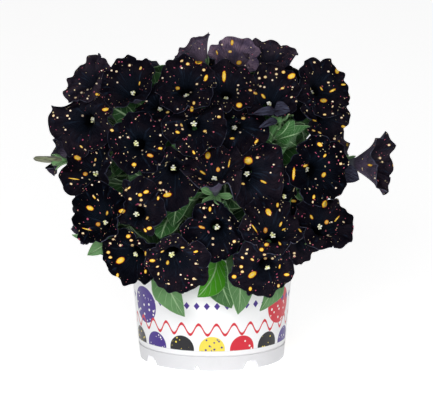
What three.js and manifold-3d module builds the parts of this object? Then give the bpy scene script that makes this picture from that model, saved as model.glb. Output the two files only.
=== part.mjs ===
// A potted petunia in full bloom: a round plastic pot with a notched foot, peat, six leafy stems
// and a dome of dark, five-lobed blooms. Millimetres, +Z up, the pot's axis is the Z axis, and
// the front of the plant faces -Y.
import * as THREE from 'three';
import { mergeVertices } from 'three/addons/utils/BufferGeometryUtils.js';
import Module from 'manifold-3d';

const wasm = await Module();
wasm.setup();

// Driving dimensions
const pot = {
  height: 94, // a 13 cm retail pot
  rimRadius: 65,
  lipHeight: 5.5,
  lipStep: 2.2,
  wall: 1.8,
  baseRadius: 56,
  bandHeight: 12, // plain band above the feet
  footHeight: 7,
  footWidth: 8,
  floor: 2.2,
  segments: 36,
  feet: 4,
  firstGap: 33, // degrees round from the front, towards +X
  gapWidths: [4, 14], // top and bottom of the gap between two feet
  notch: { width: 6, height: 4.5 }, // small notch in the middle of each foot
  drain: { radius: 3.5, ring: 40 },
};
const soil = { top: 82, relief: 2.2, rings: [0.95, 0.6, 0.28] };
const gap = 0.35; // clearance between two pieces that touch
const dome = { centre: [-8, 0, 146], spread: 110, rise: 92 };
const stem = { count: 6, steps: 8, sides: 5, radius: 2.1, tipRadius: 1.3, soilRing: 20, twigSides: 3, twig: 0.9 };
const blossom = {
  diameter: 52, // the size that the lengths below belong to
  throat: 4.3,
  neck: 6.2, // outside of the tube where it opens
  throatDepth: 14,
  tubeEnd: 1.9,
  tubeLength: 30,
  flareAt: 0.3, // share of the limb where the trumpet opens
  throatShare: 0.6, // how far the throat follows the limb when that bends
  flarePower: 3.8,
  edgePoints: [25, 15], // round the edge of a front bloom and of a back one
  ringPoints: 10,
  tubePoints: 5,
  skin: 1.1,
};
// Rings of the calyx as radius and height over the end of the bloom's tube: foot, lip and seat.
const calyx = { foot: [1.6, -4.5], lip: [4.4, 3], mouth: [3.9, 5], seat: [2.4, -0.5] };
const layerDrop = 4.5; // how far each layer sits under the one before
const tuckStep = 1.6; // room between one layer of blooms and the next
const tuckStart = 2.4;

// Colours
const finish = (color, roughness, side = THREE.FrontSide) =>
  new THREE.MeshStandardMaterial({ color, roughness, metalness: 0, side });
const potWhite = finish('#eef0f1', 0.35);
const peatBrown = finish('#2a1c12', 0.95);
const leafGreen = finish('#3f7a2f', 0.6);
const petalBlack = finish('#15101a', 0.5);
const budOlive = finish('#8c8f5a', 0.6);

// Every bloom: x, y, z of the limb's centre, the way it faces (degrees to +X and degrees up),
// its diameter, its layer (0 lies over 1) and how far it is cupped.
const frontBlooms = [
  [-66, -30, 223, -30, 40, 48, 0, 0],
  [-97, -6, 221, -55, 38, 46, 0, 0],
  [-100, -27, 192, -28, 8, 56, 0, 0],
  [-101, -52, 164, -45, 22, 54, 1, 0],
  [-89, -74, 129, -40, 20, 52, 0, 0],
  [-65, -74, 92, -25, -18, 51, 1, 0],
  [-60, -98, 138, -20, 5, 50, 1, 0],
  [-58, -88, 187, -20, 15, 51, 1, 0],
  [-44, -58, 216, -10, 30, 46, 2, 0],
  [-21, -54, 226, -5, 40, 51, 0, 0],
  [-13, -88, 202, 0, 20, 52, 0, 0],
  [22, -80, 202, 12, 20, 50, 1, 0],
  [12, -45, 222, 5, 42, 48, 0, 0],
  [45, -50, 221, 16, 40, 50, 0, 0],
  [66, -32, 219, 26, 34, 46, 2, 0],
  [86, -24, 218, 35, 25, 50, 0, 0],
  [93, -34, 196, 40, 3, 46, 1, 0],
  [83, -62, 160, 30, 8, 56, 0, 0],
  [126, -8, 154, 76, 4, 50, 0, 0.3],
  [87, -56, 119, 30, 40, 52, 0, 0],
  [74, -42, 92, 44, -22, 42, 1, 0],
  [46, -96, 125, 8, 42, 52, 0, 0],
  [39, -94, 88, 12, -15, 53, 1, 0],
  [-26, -98, 94, -5, -18, 53, 0, 0],
  [2, -108, 125, 0, 2, 56, 1, 0],
  [-1, -104, 172, 0, 44, 52, 0, 0],
  [36, -94, 166, 8, 12, 52, 1, 0],
  [-34, -98, 161, -5, 10, 52, 2, 0],
  [61, -80, 142, 20, 5, 48, 2, 0],
  [-17, 12, 239, -125, 42, 44, 2, 0.3],
  [14, -9, 243, 12, 52, 48, 2, 0.1],
  [50, 10, 236, 105, 42, 46, 2, 0.3],
];
const backRows = [
  { z: 110, count: 6, from: 97, to: 258, reach: 101, pitch: -6, layer: 1 },
  { z: 160, count: 5, from: 112, to: 252, reach: 114.5, pitch: 10, layer: 0 },
  { z: 202, count: 5, from: 104, to: 258, reach: 86, pitch: 32, layer: 1 },
  { z: 226, count: 2, from: 160, to: 222, reach: 48, pitch: 58, layer: 2 },
];
const backDiameter = 55;

// Leaves that show from the front: base, tip and width.
const frontLeaves = [
  [[48, -60, 172], [34, -86, 180], 24],
  [[54, -58, 178], [62, -84, 162], 26],
  [[58, -54, 180], [84, -64, 178], 22],
  [[70, -48, 200], [62, -62, 184], 20],
  [[-20, -70, 176], [-34, -92, 184], 22],
  [[0, -66, 178], [14, -92, 190], 20],
  [[-6, -50, 198], [4, -70, 216], 20],
  [[-44, -62, 186], [-34, -76, 204], 16],
  [[-50, -72, 158], [-68, -92, 166], 22],
  [[-78, -52, 172], [-86, -66, 188], 15],
  [[-30, -70, 128], [-40, -98, 112], 26],
  [[-24, -74, 140], [-30, -106, 124], 24],
  [[-18, -76, 142], [-14, -104, 152], 20],
  [[18, -74, 148], [34, -106, 146], 24],
  [[30, -76, 142], [40, -100, 112], 24],
  [[0, -78, 150], [-14, -104, 146], 20],
  [[-84, -30, 140], [-116, -44, 148], 18],
  [[-80, -30, 112], [-108, -38, 104], 20],
  [[-70, -40, 108], [-96, -56, 92], 18],
  [[-36, -62, 98], [-24, -84, 52], 30],
  [[14, -62, 100], [4, -98, 74], 28],
  [[12, -60, 99], [0, -78, 60], 25],
  [[22, -64, 98], [24, -86, 44], 25],
  [[50, -55, 99], [42, -83, 49], 23],
  [[62, -34, 102], [66, -72, 84], 22],
  [[70, -24, 106], [96, -34, 92], 20],
  [[-56, -36, 114], [-98, -48, 128], 30],
  [[-58, -26, 108], [-94, -30, 92], 30],
  [[-54, -8, 116], [-98, -8, 130], 30],
  [[-62, -20, 158], [-104, -22, 168], 28],
  [[58, -16, 152], [98, -12, 172], 30],
  [[60, -8, 140], [98, 6, 134], 28],
  [[56, -26, 124], [92, -20, 124], 28],
  [[-30, 6, 214], [-52, -4, 228], 26],
];
// Shorter leaves up each stem, by share of the way, degrees to the side, length and width.
const stemLeaves = [
  [0.2, -36, 52, 28],
  [0.34, 30, 56, 30],
  [0.5, -20, 58, 30],
  [0.72, 26, 50, 26],
];
const bud = { root: [-115, -14, 158], tip: [-138, -17, 160], radius: 2.6 };

// Small helpers
const radians = THREE.MathUtils.degToRad;
const vector = (p) => new THREE.Vector3(...p);
const wave = (a, b) => {
  const s = Math.sin(a * 127.1 + b * 311.7) * 43758.5453;
  return s - Math.floor(s);
};
const heading = (turn, rise) =>
  new THREE.Vector3(
    Math.sin(radians(turn)) * Math.cos(radians(rise)),
    -Math.cos(radians(turn)) * Math.cos(radians(rise)),
    Math.sin(radians(rise)),
  );

// A closed mesh as a solid, with its shared points merged and its faces pointing out.
function solidOf(points, faces) {
  const g = new THREE.BufferGeometry();
  g.setAttribute('position', new THREE.Float32BufferAttribute(points.flatMap((p) => [p.x, p.y, p.z]), 3));
  g.setIndex(faces.flat());
  return solidFromGeometry(g);
}

function solidFromGeometry(geometry) {
  const bare = geometry.clone();
  bare.deleteAttribute('normal');
  bare.deleteAttribute('uv');
  const g = mergeVertices(bare, 1e-3);
  const build = (flip) => {
    const triVerts = new Uint32Array(g.index.array);
    if (flip) for (let i = 0; i < triVerts.length; i += 3) triVerts.subarray(i, i + 2).reverse();
    const vertProperties = new Float32Array(g.attributes.position.array);
    return new wasm.Manifold(new wasm.Mesh({ numProp: 3, vertProperties, triVerts }));
  };
  const solid = build(false);
  return solid.volume() < 0 ? build(true) : solid;
}

function meshOf(name, solid, material) {
  const m = solid.getMesh();
  const positions = new Float32Array(m.numVert * 3);
  for (let i = 0; i < m.numVert; i++) {
    positions.set(m.vertProperties.subarray(i * m.numProp, i * m.numProp + 3), i * 3);
  }
  const g = new THREE.BufferGeometry();
  g.setAttribute('position', new THREE.BufferAttribute(positions, 3));
  g.setIndex(new THREE.BufferAttribute(new Uint32Array(m.triVerts), 1));
  const mesh = new THREE.Mesh(g, material);
  mesh.name = name;
  return mesh;
}

// Edges that more than two faces share, where a solid only touches itself.
function pinchedEdges(solid) {
  const m = solid.getMesh();
  const keyOf = (v) => Array.from(m.vertProperties.subarray(v * m.numProp, v * m.numProp + 3), (x) => Math.round(x * 1e3));
  const found = new Map();
  for (let i = 0; i < m.triVerts.length; i += 3) {
    const corners = [0, 1, 2].map((k) => keyOf(m.triVerts[i + k]));
    if (new Set(corners.map(String)).size < 3) continue;
    corners.forEach((from, k) => {
      const ends = [from, corners[(k + 1) % 3]];
      const key = ends.map(String).sort().join(' ');
      found.set(key, { ends, uses: (found.get(key)?.uses ?? 0) + 1 });
    });
  }
  return [...found.values()].filter((e) => e.uses > 2).map((e) => e.ends.map((p) => vector(p).multiplyScalar(1e-3)));
}

// The largest piece of a solid: loose scraps and sealed hollows are left out, also those that
// hang on by a point, and lines along which the solid only touches itself are cut free.
function mainPiece(solid) {
  let best = solid;
  for (let round = 0; round < 6; round++) {
    best = best.decompose().reduce((a, b) => (b.volume() > a.volume() ? b : a));
    best = solidFromGeometry(meshOf('piece', best, null).geometry);
    const pinched = pinchedEdges(best);
    if (best.decompose().length === 1 && !pinched.length) break;
    for (const [from, to] of pinched) {
      const over = to.clone().sub(from).setLength(0.3);
      const ends = [from.clone().sub(over), to.clone().add(over)];
      const bead = ends.flatMap((p) => [-0.25, 0.25].flatMap((d) => [[d, 0, 0], [0, d, 0], [0, 0, d]].map((o) => vector(o).add(p))));
      best = best.subtract(hullOf(bead));
    }
  }
  return best;
}

const hullOf = (...groups) => wasm.Manifold.hull(groups.flat().map((p) => p.toArray()));

// Faces between two closed rings of points, which may differ in count. On a tie the ring with more
// points goes first, so that the two faces of a blade are split alike.
function stitch(a, b) {
  const faces = [];
  let i = 0;
  let j = 0;
  while (i < a.length || j < b.length) {
    const lead = (2 * i + 1) * b.length - (2 * j + 1) * a.length;
    if (j >= b.length || (i < a.length && (lead < 0 || (lead === 0 && a.length >= b.length)))) {
      faces.push([a[(i + 1) % a.length], a[i % a.length], b[j % b.length]]);
      i++;
    } else {
      faces.push([a[i % a.length], b[j % b.length], b[(j + 1) % b.length]]);
      j++;
    }
  }
  return faces;
}

const fan = (ring, centre) => ring.map((v, k) => [v, ring[(k + 1) % ring.length], centre]);

// A solid turned round the Z axis from (radius, height) points.
function turned(profile, segments) {
  const g = new THREE.LatheGeometry(profile.map((p) => new THREE.Vector2(...p)), segments);
  g.rotateX(Math.PI / 2);
  return solidFromGeometry(g);
}

// A tapered tube along a curve, with flat ends.
function tube(curve, radiusAt, steps, sides) {
  const points = [];
  const rings = [];
  const frames = curve.computeFrenetFrames(steps, false);
  for (let k = 0; k <= steps; k++) {
    const centre = curve.getPoint(k / steps);
    const r = radiusAt(k / steps);
    const ring = [];
    for (let s = 0; s < sides; s++) {
      const turn = (s / sides) * 2 * Math.PI;
      ring.push(points.length);
      points.push(
        centre
          .clone()
          .addScaledVector(frames.normals[k], Math.cos(turn) * r)
          .addScaledVector(frames.binormals[k], Math.sin(turn) * r),
      );
    }
    rings.push(ring);
  }
  const first = points.push(curve.getPoint(0)) - 1;
  const last = points.push(curve.getPoint(1)) - 1;
  const faces = fan([...rings[0]].reverse(), first);
  for (let k = 0; k < steps; k++) faces.push(...stitch(rings[k + 1], rings[k]));
  faces.push(...fan(rings[steps], last));
  return solidOf(points, faces);
}

// Pot: one moulded shell with a stepped lip, a foot ring cut into four feet, and drain holes.
const wallRadius = (z) => {
  const share = (z - pot.bandHeight) / (pot.height - pot.lipHeight - pot.bandHeight);
  const bottom = pot.baseRadius + 1;
  return bottom + Math.max(0, share) * (pot.rimRadius - pot.lipStep - bottom);
};

function makePot() {
  const floorBottom = pot.footHeight;
  const floorTop = floorBottom + pot.floor;
  const lipBottom = pot.height - pot.lipHeight;
  const inner = (z) => wallRadius(z) - pot.wall;
  let shell = turned(
    [
      [0, floorBottom],
      [pot.baseRadius - pot.footWidth, floorBottom],
      [pot.baseRadius - pot.footWidth + 1, 0],
      [pot.baseRadius, 0],
      [wallRadius(0), pot.bandHeight],
      [wallRadius(lipBottom), lipBottom],
      [pot.rimRadius, lipBottom + 0.6],
      [pot.rimRadius, pot.height - 0.6],
      [pot.rimRadius - 0.6, pot.height],
      [pot.rimRadius - 2.4, pot.height],
      [inner(lipBottom), lipBottom - 1],
      [inner(floorTop), floorTop],
      [0, floorTop],
    ],
    pot.segments,
  );
  const wedge = (topWidth, bottomWidth, height, reach) => {
    const shape = new THREE.Shape();
    shape.moveTo(-bottomWidth / 2, -1);
    shape.lineTo(bottomWidth / 2, -1);
    shape.lineTo(topWidth / 2, height);
    shape.lineTo(-topWidth / 2, height);
    const g = new THREE.ExtrudeGeometry(shape, { depth: reach, bevelEnabled: false });
    return g.rotateX(Math.PI / 2);
  };
  for (let k = 0; k < pot.feet; k++) {
    const between = radians(pot.firstGap + (k * 360) / pot.feet);
    const middle = between + Math.PI / pot.feet;
    const inside = pot.baseRadius - pot.footWidth - 3;
    const opening = wedge(pot.gapWidths[0], pot.gapWidths[1], pot.footHeight - 0.4, 14);
    shell = shell.subtract(solidFromGeometry(opening.translate(0, -inside, 0).rotateZ(between)));
    const nick = wedge(0.8, pot.notch.width, pot.notch.height, 14);
    shell = shell.subtract(solidFromGeometry(nick.translate(0, -inside, 0).rotateZ(middle)));
    const hole = new THREE.CylinderGeometry(pot.drain.radius, pot.drain.radius, 12, 8);
    hole.rotateX(Math.PI / 2).translate(0, -pot.drain.ring, floorBottom + 1).rotateZ(between);
    shell = shell.subtract(solidFromGeometry(hole));
  }
  return shell;
}

// Moves a point that would lie in the pot's wall or lip to just outside it.
function clearPot(point) {
  const reach = Math.hypot(point.x, point.y);
  const least = (point.z > pot.height - pot.lipHeight - 6 ? pot.rimRadius : wallRadius(Math.max(point.z, 0))) + 2;
  if (point.z < pot.height + 2.5 && reach < least) point.multiply(new THREE.Vector3(least / reach, least / reach, 1));
  return point;
}

// The room that the wall and lip take up, to keep the leaves off them.
function wallRoom() {
  const lipBottom = pot.height - pot.lipHeight;
  return turned(
    [
      [wallRadius(30) - pot.wall - gap, 30],
      [wallRadius(30) + gap, 30],
      [wallRadius(lipBottom) + gap, lipBottom - gap],
      [pot.rimRadius + gap, lipBottom],
      [pot.rimRadius + gap, pot.height + gap],
      [pot.rimRadius - 3, pot.height + gap],
      [wallRadius(lipBottom) - pot.wall - gap, lipBottom - 1],
      [wallRadius(30) - pot.wall - gap, 30],
    ],
    pot.segments,
  );
}

// Peat: fills the pot to just below the lip, with an uneven top and a hole for each stem.
function makeSoil() {
  const floorTop = pot.footHeight + pot.floor + gap;
  const side = (z) => wallRadius(z) - pot.wall - gap;
  const n = pot.segments;
  const points = [new THREE.Vector3(0, 0, floorTop)];
  const ringOf = (radius, height, count) => {
    const ring = [];
    for (let k = 0; k < count; k++) {
      const a = (k / count) * 2 * Math.PI;
      ring.push(points.push(new THREE.Vector3(Math.sin(a) * radius, -Math.cos(a) * radius, height(k))) - 1);
    }
    return ring;
  };
  const bottom = ringOf(side(floorTop), () => floorTop, n);
  const edge = ringOf(side(soil.top), () => soil.top, n);
  const top = soil.rings.map((share, row) =>
    ringOf(side(soil.top) * share * 0.97, (k) => soil.top + soil.relief * (wave(k, row + 1) - 0.2), [18, 12, 6][row]),
  );
  const peak = points.push(new THREE.Vector3(0, 0, soil.top + soil.relief)) - 1;
  const faces = [...fan([...bottom].reverse(), 0), ...stitch(edge, bottom), ...stitch(top[0], edge)];
  for (let row = 1; row < top.length; row++) faces.push(...stitch(top[row], top[row - 1]));
  faces.push(...fan(top.at(-1), peak));
  return solidOf(points, faces);
}

// Blooms
function listBlooms() {
  const found = frontBlooms.map(([x, y, z, turn, rise, diameter, layer, cup]) => ({
    centre: new THREE.Vector3(x, y, z), turn, rise, diameter, layer, cup,
  }));
  backRows.forEach((row, r) => {
    for (let k = 0; k < row.count; k++) {
      const turn = row.from + ((row.to - row.from) * k) / (row.count - 1);
      const out = heading(turn, 0);
      found.push({
        centre: new THREE.Vector3(dome.centre[0] + out.x * row.reach, out.y * row.reach, row.z + 6 * (wave(k, r) - 0.5)),
        turn: turn + 14 * (wave(r, k) - 0.5),
        rise: row.pitch + 12 * (wave(k + 3, r) - 0.5),
        diameter: backDiameter,
        layer: row.layer,
        cup: 0,
      });
    }
  });
  return found.map((b, index) => {
    const axis = heading(b.turn, b.rise);
    const reference = Math.abs(axis.z) > 0.95 ? new THREE.Vector3(0, 1, 0) : new THREE.Vector3(0, 0, 1);
    const side = new THREE.Vector3().crossVectors(reference, axis).normalize();
    const up = new THREE.Vector3().crossVectors(axis, side);
    const scale = b.diameter / blossom.diameter;
    const centre = b.centre.clone().addScaledVector(axis, -layerDrop * b.layer);
    const root = centre.clone().addScaledVector(axis, -blossom.tubeLength * scale);
    return { ...b, centre, index, axis, side, up, scale, root, roll: wave(index, 7) * 2 * Math.PI, rank: b.layer + index / 1000 };
  });
}
const blooms = listBlooms();

// How far into a lobe an angle is: 0 in the notch between two lobes, 1 at a lobe's tip.
const lobeAt = (angle) => Math.abs(Math.sin(2.5 * angle)) ** 0.45;

// The limb's edge, as shares of its radius: how far out and how far forward.
function edgeAt(bloom, angle) {
  const lobe = lobeAt(angle);
  const phase = (k) => wave(bloom.index, k) * 2 * Math.PI;
  const out = 0.86 + 0.13 * lobe + 0.02 * Math.sin(8 * angle + phase(1));
  const forward =
    0.06 - 0.12 * lobe + 0.07 * Math.sin(2 * angle + phase(2)) + 0.05 * Math.sin(7 * angle + phase(3)) + bloom.cup;
  return [out, forward];
}

// The face of a bloom: t runs from 0 at the throat to 1 at the edge.
function facePoint(bloom, angle, t) {
  const s = bloom.scale;
  const radius = bloom.diameter / 2;
  const [out, forward] = edgeAt(bloom, angle);
  const rho = blossom.throat * s * (1 - t) + radius * out * t;
  const height = -blossom.throatDepth * s * (1 - t) ** blossom.flarePower + radius * forward * t * t;
  return [rho, height];
}

// Bends a point of a bloom behind every bloom that lies over it. spare is how far past an edge that reaches.
function tuck(point, rank, layer, spare = 9) {
  for (const over of blooms) {
    if (over.rank >= rank) continue;
    const away = point.clone().sub(over.centre);
    const height = away.dot(over.axis);
    const rho = Math.sqrt(Math.max(0, away.lengthSq() - height * height));
    const radius = over.diameter / 2;
    if (rho > radius + spare || height < -22 * over.scale) continue;
    const t = THREE.MathUtils.clamp((rho - blossom.throat) / (radius - blossom.throat), 0, 1);
    const room = tuckStart + tuckStep * (layer - over.layer) + 0.1 * radius * t * t - over.cup * radius * t * t;
    const back = -blossom.throatDepth * over.scale * (1 - t) ** blossom.flarePower;
    const limit = back - room + 1.1 * Math.max(0, rho - radius);
    if (height > limit) point.addScaledVector(over.axis, Math.max(limit - height, -24));
  }
  return point;
}

// A bloom's solid: tube, limb and throat. grown swells it, to cut room for it out of other pieces.
function bloomSolid(bloom, grown = 0) {
  const points = [];
  const s = bloom.scale;
  const front = bloom.index < frontBlooms.length;
  const spare = front ? 9 : 22;
  const place = (angle, rho, height) => {
    const a = angle + bloom.roll;
    return bloom.centre
      .clone()
      .addScaledVector(bloom.side, Math.cos(a) * rho)
      .addScaledVector(bloom.up, Math.sin(a) * rho)
      .addScaledVector(bloom.axis, height);
  };
  const shiftAt = (angle, t, share) => {
    const free = place(angle, ...facePoint(bloom, angle, t));
    return tuck(free.clone(), bloom.rank, bloom.layer, spare).sub(free).multiplyScalar(share);
  };
  const ring = (count, at, [t, share], [extraOut, extraDown]) =>
    Array.from({ length: count }, (_, k) => {
      const angle = (k / count) * 2 * Math.PI;
      const [rho, height] = at(angle);
      const p = place(angle, rho + extraOut, height - extraDown);
      return points.push(share ? p.add(shiftAt(angle, t, share)) : p) - 1;
    });
  const { ringPoints: m, skin, flareAt, throatShare } = blossom;
  const n = blossom.edgePoints[front ? 0 : 1];
  const faceAt = (t) => (angle) => facePoint(bloom, angle, t);
  const inThroat = [flareAt, throatShare];
  const tubeEnd = ring(blossom.tubePoints, () => [blossom.tubeEnd * s, -blossom.tubeLength * s], [0, 0], [grown, grown]);
  const neck = ring(blossom.tubePoints, () => [blossom.neck * s, (-blossom.throatDepth - 0.5) * s], inThroat, [grown, 0]);
  const flare = ring(m, faceAt(flareAt), [flareAt, 1], [skin * 0.6 + grown, skin + grown]);
  const edge = ring(n, faceAt(1), [1, 1], [grown, grown]);
  const rim = grown ? ring(n, faceAt(1), [1, 1], [grown, -grown]) : edge;
  const face = ring(m, faceAt(flareAt), [flareAt, 1], [0, -grown]);
  const throat = ring(m, faceAt(0), inThroat, [-grown, -grown]);
  const pit = points.push(place(0, 0, -blossom.throatDepth * s - 3 * s + grown)) - 1;
  const faces = [];
  for (let k = 1; k < tubeEnd.length - 1; k++) faces.push([tubeEnd[0], tubeEnd[k + 1], tubeEnd[k]]);
  faces.push(...stitch(neck, tubeEnd), ...stitch(flare, neck), ...stitch(edge, flare));
  if (grown) faces.push(...stitch(rim, edge));
  faces.push(...stitch(face, rim), ...stitch(throat, face), ...fan(throat, pit));
  return solidOf(points, faces);
}

// A leaf: a stalk that starts inside its stem and a thin, folded blade with a pointed tip.
const leafStations = [
  [0.32, 0.96],
  [0.7, 0.8],
];
function leafSolid(start, base, tip, width, outward) {
  const along = tip.clone().sub(base);
  const length = along.length();
  along.normalize();
  const side = new THREE.Vector3().crossVectors(along, outward).normalize();
  const normal = new THREE.Vector3().crossVectors(side, along).normalize();
  const behind = (p) => clearPot(tuck(p, 99, 2));
  const section = (centre, half, lift, thick) => {
    const [left, middle, right] = [-half, 0, half].map((x) =>
      behind(centre.clone().addScaledVector(side, x).addScaledVector(normal, x ? lift : 0)),
    );
    const top = middle.clone().addScaledVector(normal, thick);
    const under = middle.clone().addScaledVector(normal, -thick);
    return [
      [left, top, under],
      [right, top, under],
    ];
  };
  const root = [side, normal, side.clone().add(normal).negate()].map((d) => start.clone().addScaledVector(d, 0.7));
  const neck = section(base, 0.9, 0.2, 0.6);
  const sections = [neck];
  for (const [t, share] of leafStations) {
    const arch = 0.12 * length * Math.sin(Math.PI * t);
    const centre = base.clone().addScaledVector(along, t * length).addScaledVector(normal, arch);
    const half = (width / 2) * share;
    sections.push(section(centre, half, half * 0.3, 0.5));
  }
  const end = behind(tip.clone());
  const parts = [hullOf(root, neck.flat())];
  for (const half of [0, 1]) {
    for (let k = 1; k < sections.length; k++) parts.push(hullOf(sections[k - 1][half], sections[k][half]));
    parts.push(hullOf(sections.at(-1)[half], [end]));
  }
  return parts.reduce((a, b) => a.add(b));
}

// A twig that ends in the cup of the bloom's calyx, from convex pieces.
function twigSolid(curve, { axis, side, up, root, roll, scale: s }) {
  const ringRound = (centre, a, b, radius, count) =>
    Array.from({ length: count }, (_, k) => {
      const angle = (k / count) * 2 * Math.PI + roll;
      return centre.clone().addScaledVector(a, Math.cos(angle) * radius).addScaledVector(b, Math.sin(angle) * radius);
    });
  const rings = [0, 0.5].map((t) => {
    const tangent = curve.getTangent(t);
    const first = side.clone().addScaledVector(tangent, -side.dot(tangent)).normalize();
    return ringRound(curve.getPoint(t), first, new THREE.Vector3().crossVectors(tangent, first), stem.twig, stem.twigSides);
  });
  const [foot, lip, mouth, seat] = Object.values(calyx).map(([radius, height]) =>
    ringRound(root.clone().addScaledVector(axis, height * s), side, up, radius * s, blossom.tubePoints),
  );
  return hullOf(rings[0], rings[1]).add(hullOf(rings[1], foot)).add(hullOf(foot, lip)).subtract(hullOf(mouth, seat));
}

// Leafy stems: each rises from its own hole, forks over the rim, and carries the blooms of its sector.
const turnOf = (p) => THREE.MathUtils.radToDeg(Math.atan2(p.x - dome.centre[0] / 2, -p.y));
const sectorOf = (p) => Math.round(turnOf(p) / (360 / stem.count) + stem.count) % stem.count;

function stemCurves(sector) {
  const out = heading((360 / stem.count) * sector, 0);
  const at = (radius, z) => new THREE.Vector3(dome.centre[0] / 2, 0, z).addScaledVector(out, radius);
  const main = new THREE.CatmullRomCurve3([
    at(stem.soilRing, soil.top - 9),
    at(stem.soilRing + 2, soil.top + 14),
    at(33, 124),
    at(42, 152),
    at(36, 180),
    at(20, 203),
  ]);
  const low = new THREE.CatmullRomCurve3([main.getPoint(0.3), at(42, 117), at(56, 112), at(66, 107)]);
  return { main, low };
}

function twigCurve(from, to, arrive) {
  const length = from.distanceTo(to);
  const outward = to.clone().sub(vector([dome.centre[0], 0, from.z])).normalize();
  return new THREE.CubicBezierCurve3(
    from,
    from.clone().addScaledVector(outward, 0.3 * length),
    to.clone().addScaledVector(arrive, -0.35 * length),
    to,
  );
}

// How much of a curve runs into blooms other than its own.
function crossings(curve, own) {
  let count = 0;
  for (let k = 2; k <= 10; k++) {
    const p = curve.getPoint(k / 10.5);
    for (const b of blooms) {
      if (b === own) continue;
      const away = p.clone().sub(b.centre);
      const height = away.dot(b.axis);
      const rho = Math.sqrt(Math.max(0, away.lengthSq() - height * height));
      const t = THREE.MathUtils.clamp((rho - 4) / (b.diameter / 2 - 4), 0, 1);
      const limb = -blossom.throatDepth * b.scale * (1 - t) ** blossom.flarePower;
      if (rho < b.diameter / 2 + 2 && height > limb - 7 && height < limb + 4) count++;
      if (rho < 8 && height < 0 && height > -blossom.tubeLength * b.scale - 3) count++;
    }
  }
  return count;
}

// The place on the stem from which a twig or a stalk reaches its goal most freely.
function bestStart(curves, goal, arrive, own, taken) {
  let best = null;
  for (const curve of curves) {
    for (let k = 2; k < 28; k++) {
      const from = curve.getPoint(k / 28);
      const shared = taken.filter((p) => p.distanceTo(from) < 3).length;
      const cost = from.distanceTo(goal) + 12 * crossings(twigCurve(from, goal, arrive), own) + 8 * shared;
      if (!best || cost < best.cost) best = { from, cost };
    }
  }
  taken.push(best.from);
  return best.from;
}

function makeLeafyStem(sector) {
  const { main, low } = stemCurves(sector);
  const taken = [];
  const taper = (t) => stem.radius + (stem.tipRadius - stem.radius) * t;
  const parts = [tube(main, taper, stem.steps, stem.sides), tube(low, (t) => taper(0.4 + 0.6 * t), 3, stem.sides)];
  for (const bloom of blooms.filter((b) => sectorOf(b.root) === sector)) {
    const seat = bloom.root.clone().addScaledVector(bloom.axis, calyx.foot[1] * bloom.scale);
    parts.push(twigSolid(twigCurve(bestStart([main, low], seat, bloom.axis, bloom, taken), seat, bloom.axis), bloom));
  }
  const leafFrom = (base, tip, width) => {
    const along = tip.clone().sub(base).normalize();
    const outward = base.clone().add(tip).multiplyScalar(0.5).sub(vector(dome.centre)).normalize();
    parts.push(leafSolid(bestStart([main, low], base, along, null, taken), base, tip, width, outward));
  };
  for (const [base, tip, width] of frontLeaves) {
    if (sectorOf(vector(base)) === sector) leafFrom(vector(base), vector(tip), width);
  }
  stemLeaves.forEach(([share, turn, length, width], k) => {
    const from = main.getPoint(share);
    const rise = -25 + 75 * share + 10 * (wave(sector, k) - 0.5);
    const way = heading((360 / stem.count) * sector + turn, rise);
    const base = from.clone().addScaledVector(way, 14);
    leafFrom(base, base.clone().addScaledVector(way, length), width);
  });
  if (sectorOf(vector(bud.root)) === sector) {
    const root = vector(bud.root);
    const arrive = vector(bud.tip).sub(root).normalize();
    const own = { root, axis: arrive, side: vector([0, 0, 1]), up: vector([0, 1, 0]), roll: 0, scale: 0.75 };
    own.up.crossVectors(arrive, own.side).normalize();
    const seat = root.clone().addScaledVector(arrive, calyx.foot[1] * own.scale);
    parts.push(twigSolid(twigCurve(bestStart([main, low], seat, arrive, null, taken), seat, arrive), own));
  }
  return parts.reduce((a, b) => a.add(b));
}

// A long closed bud, widest near its tip.
function makeBud(grown = 0) {
  const root = vector(bud.root);
  const line = new THREE.LineCurve3(root, vector(bud.tip));
  return tube(line, (t) => bud.radius * (0.35 + 0.65 * Math.sin(Math.PI * (0.1 + 0.8 * t))) + grown, 5, 8);
}

// Cuts room for one bloom out of another piece.
const meets = (a, b) => a.intersect(b).volume() > 0;
function keepOff(solid, other) {
  let left = solid;
  if (meets(left, other.room)) left = left.subtract(other.room);
  if (!meets(left, other.solid)) return left;
  for (const axis of [other.bloom.axis, other.bloom.side, other.bloom.up]) {
    for (const way of [-gap, gap]) left = left.subtract(other.solid.translate(axis.clone().multiplyScalar(way).toArray()));
  }
  return left;
}

const model = new THREE.Group();
const potSolid = makePot();
model.add(meshOf('pot', potSolid, potWhite));

const bloomSolids = [];
for (const bloom of [...blooms].sort((a, b) => a.rank - b.rank)) {
  let solid = bloomSolid(bloom);
  for (const other of bloomSolids) if (meets(other.solid, solid)) solid = keepOff(solid, other);
  bloomSolids.push({ bloom, solid: mainPiece(solid), room: bloomSolid(bloom, gap) });
}
bloomSolids.sort((a, b) => a.bloom.index - b.bloom.index);
bloomSolids.forEach(({ bloom, solid }) => {
  model.add(meshOf(`bloom_${String(bloom.index + 1).padStart(2, '0')}`, solid, petalBlack));
});
model.add(meshOf('bud', makeBud(), budOlive));

const stems = [];
for (let sector = 0; sector < stem.count; sector++) {
  let solid = makeLeafyStem(sector);
  for (const other of bloomSolids) solid = keepOff(solid, other);
  for (const room of [makeBud(gap), wallRoom()]) solid = solid.subtract(room);
  for (const earlier of stems) solid = solid.subtract(earlier);
  stems.push(mainPiece(solid.simplify(0.3)));
}
stems.forEach((solid, k) => model.add(meshOf(`leafy_stem_${k + 1}`, solid, leafGreen)));

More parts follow.
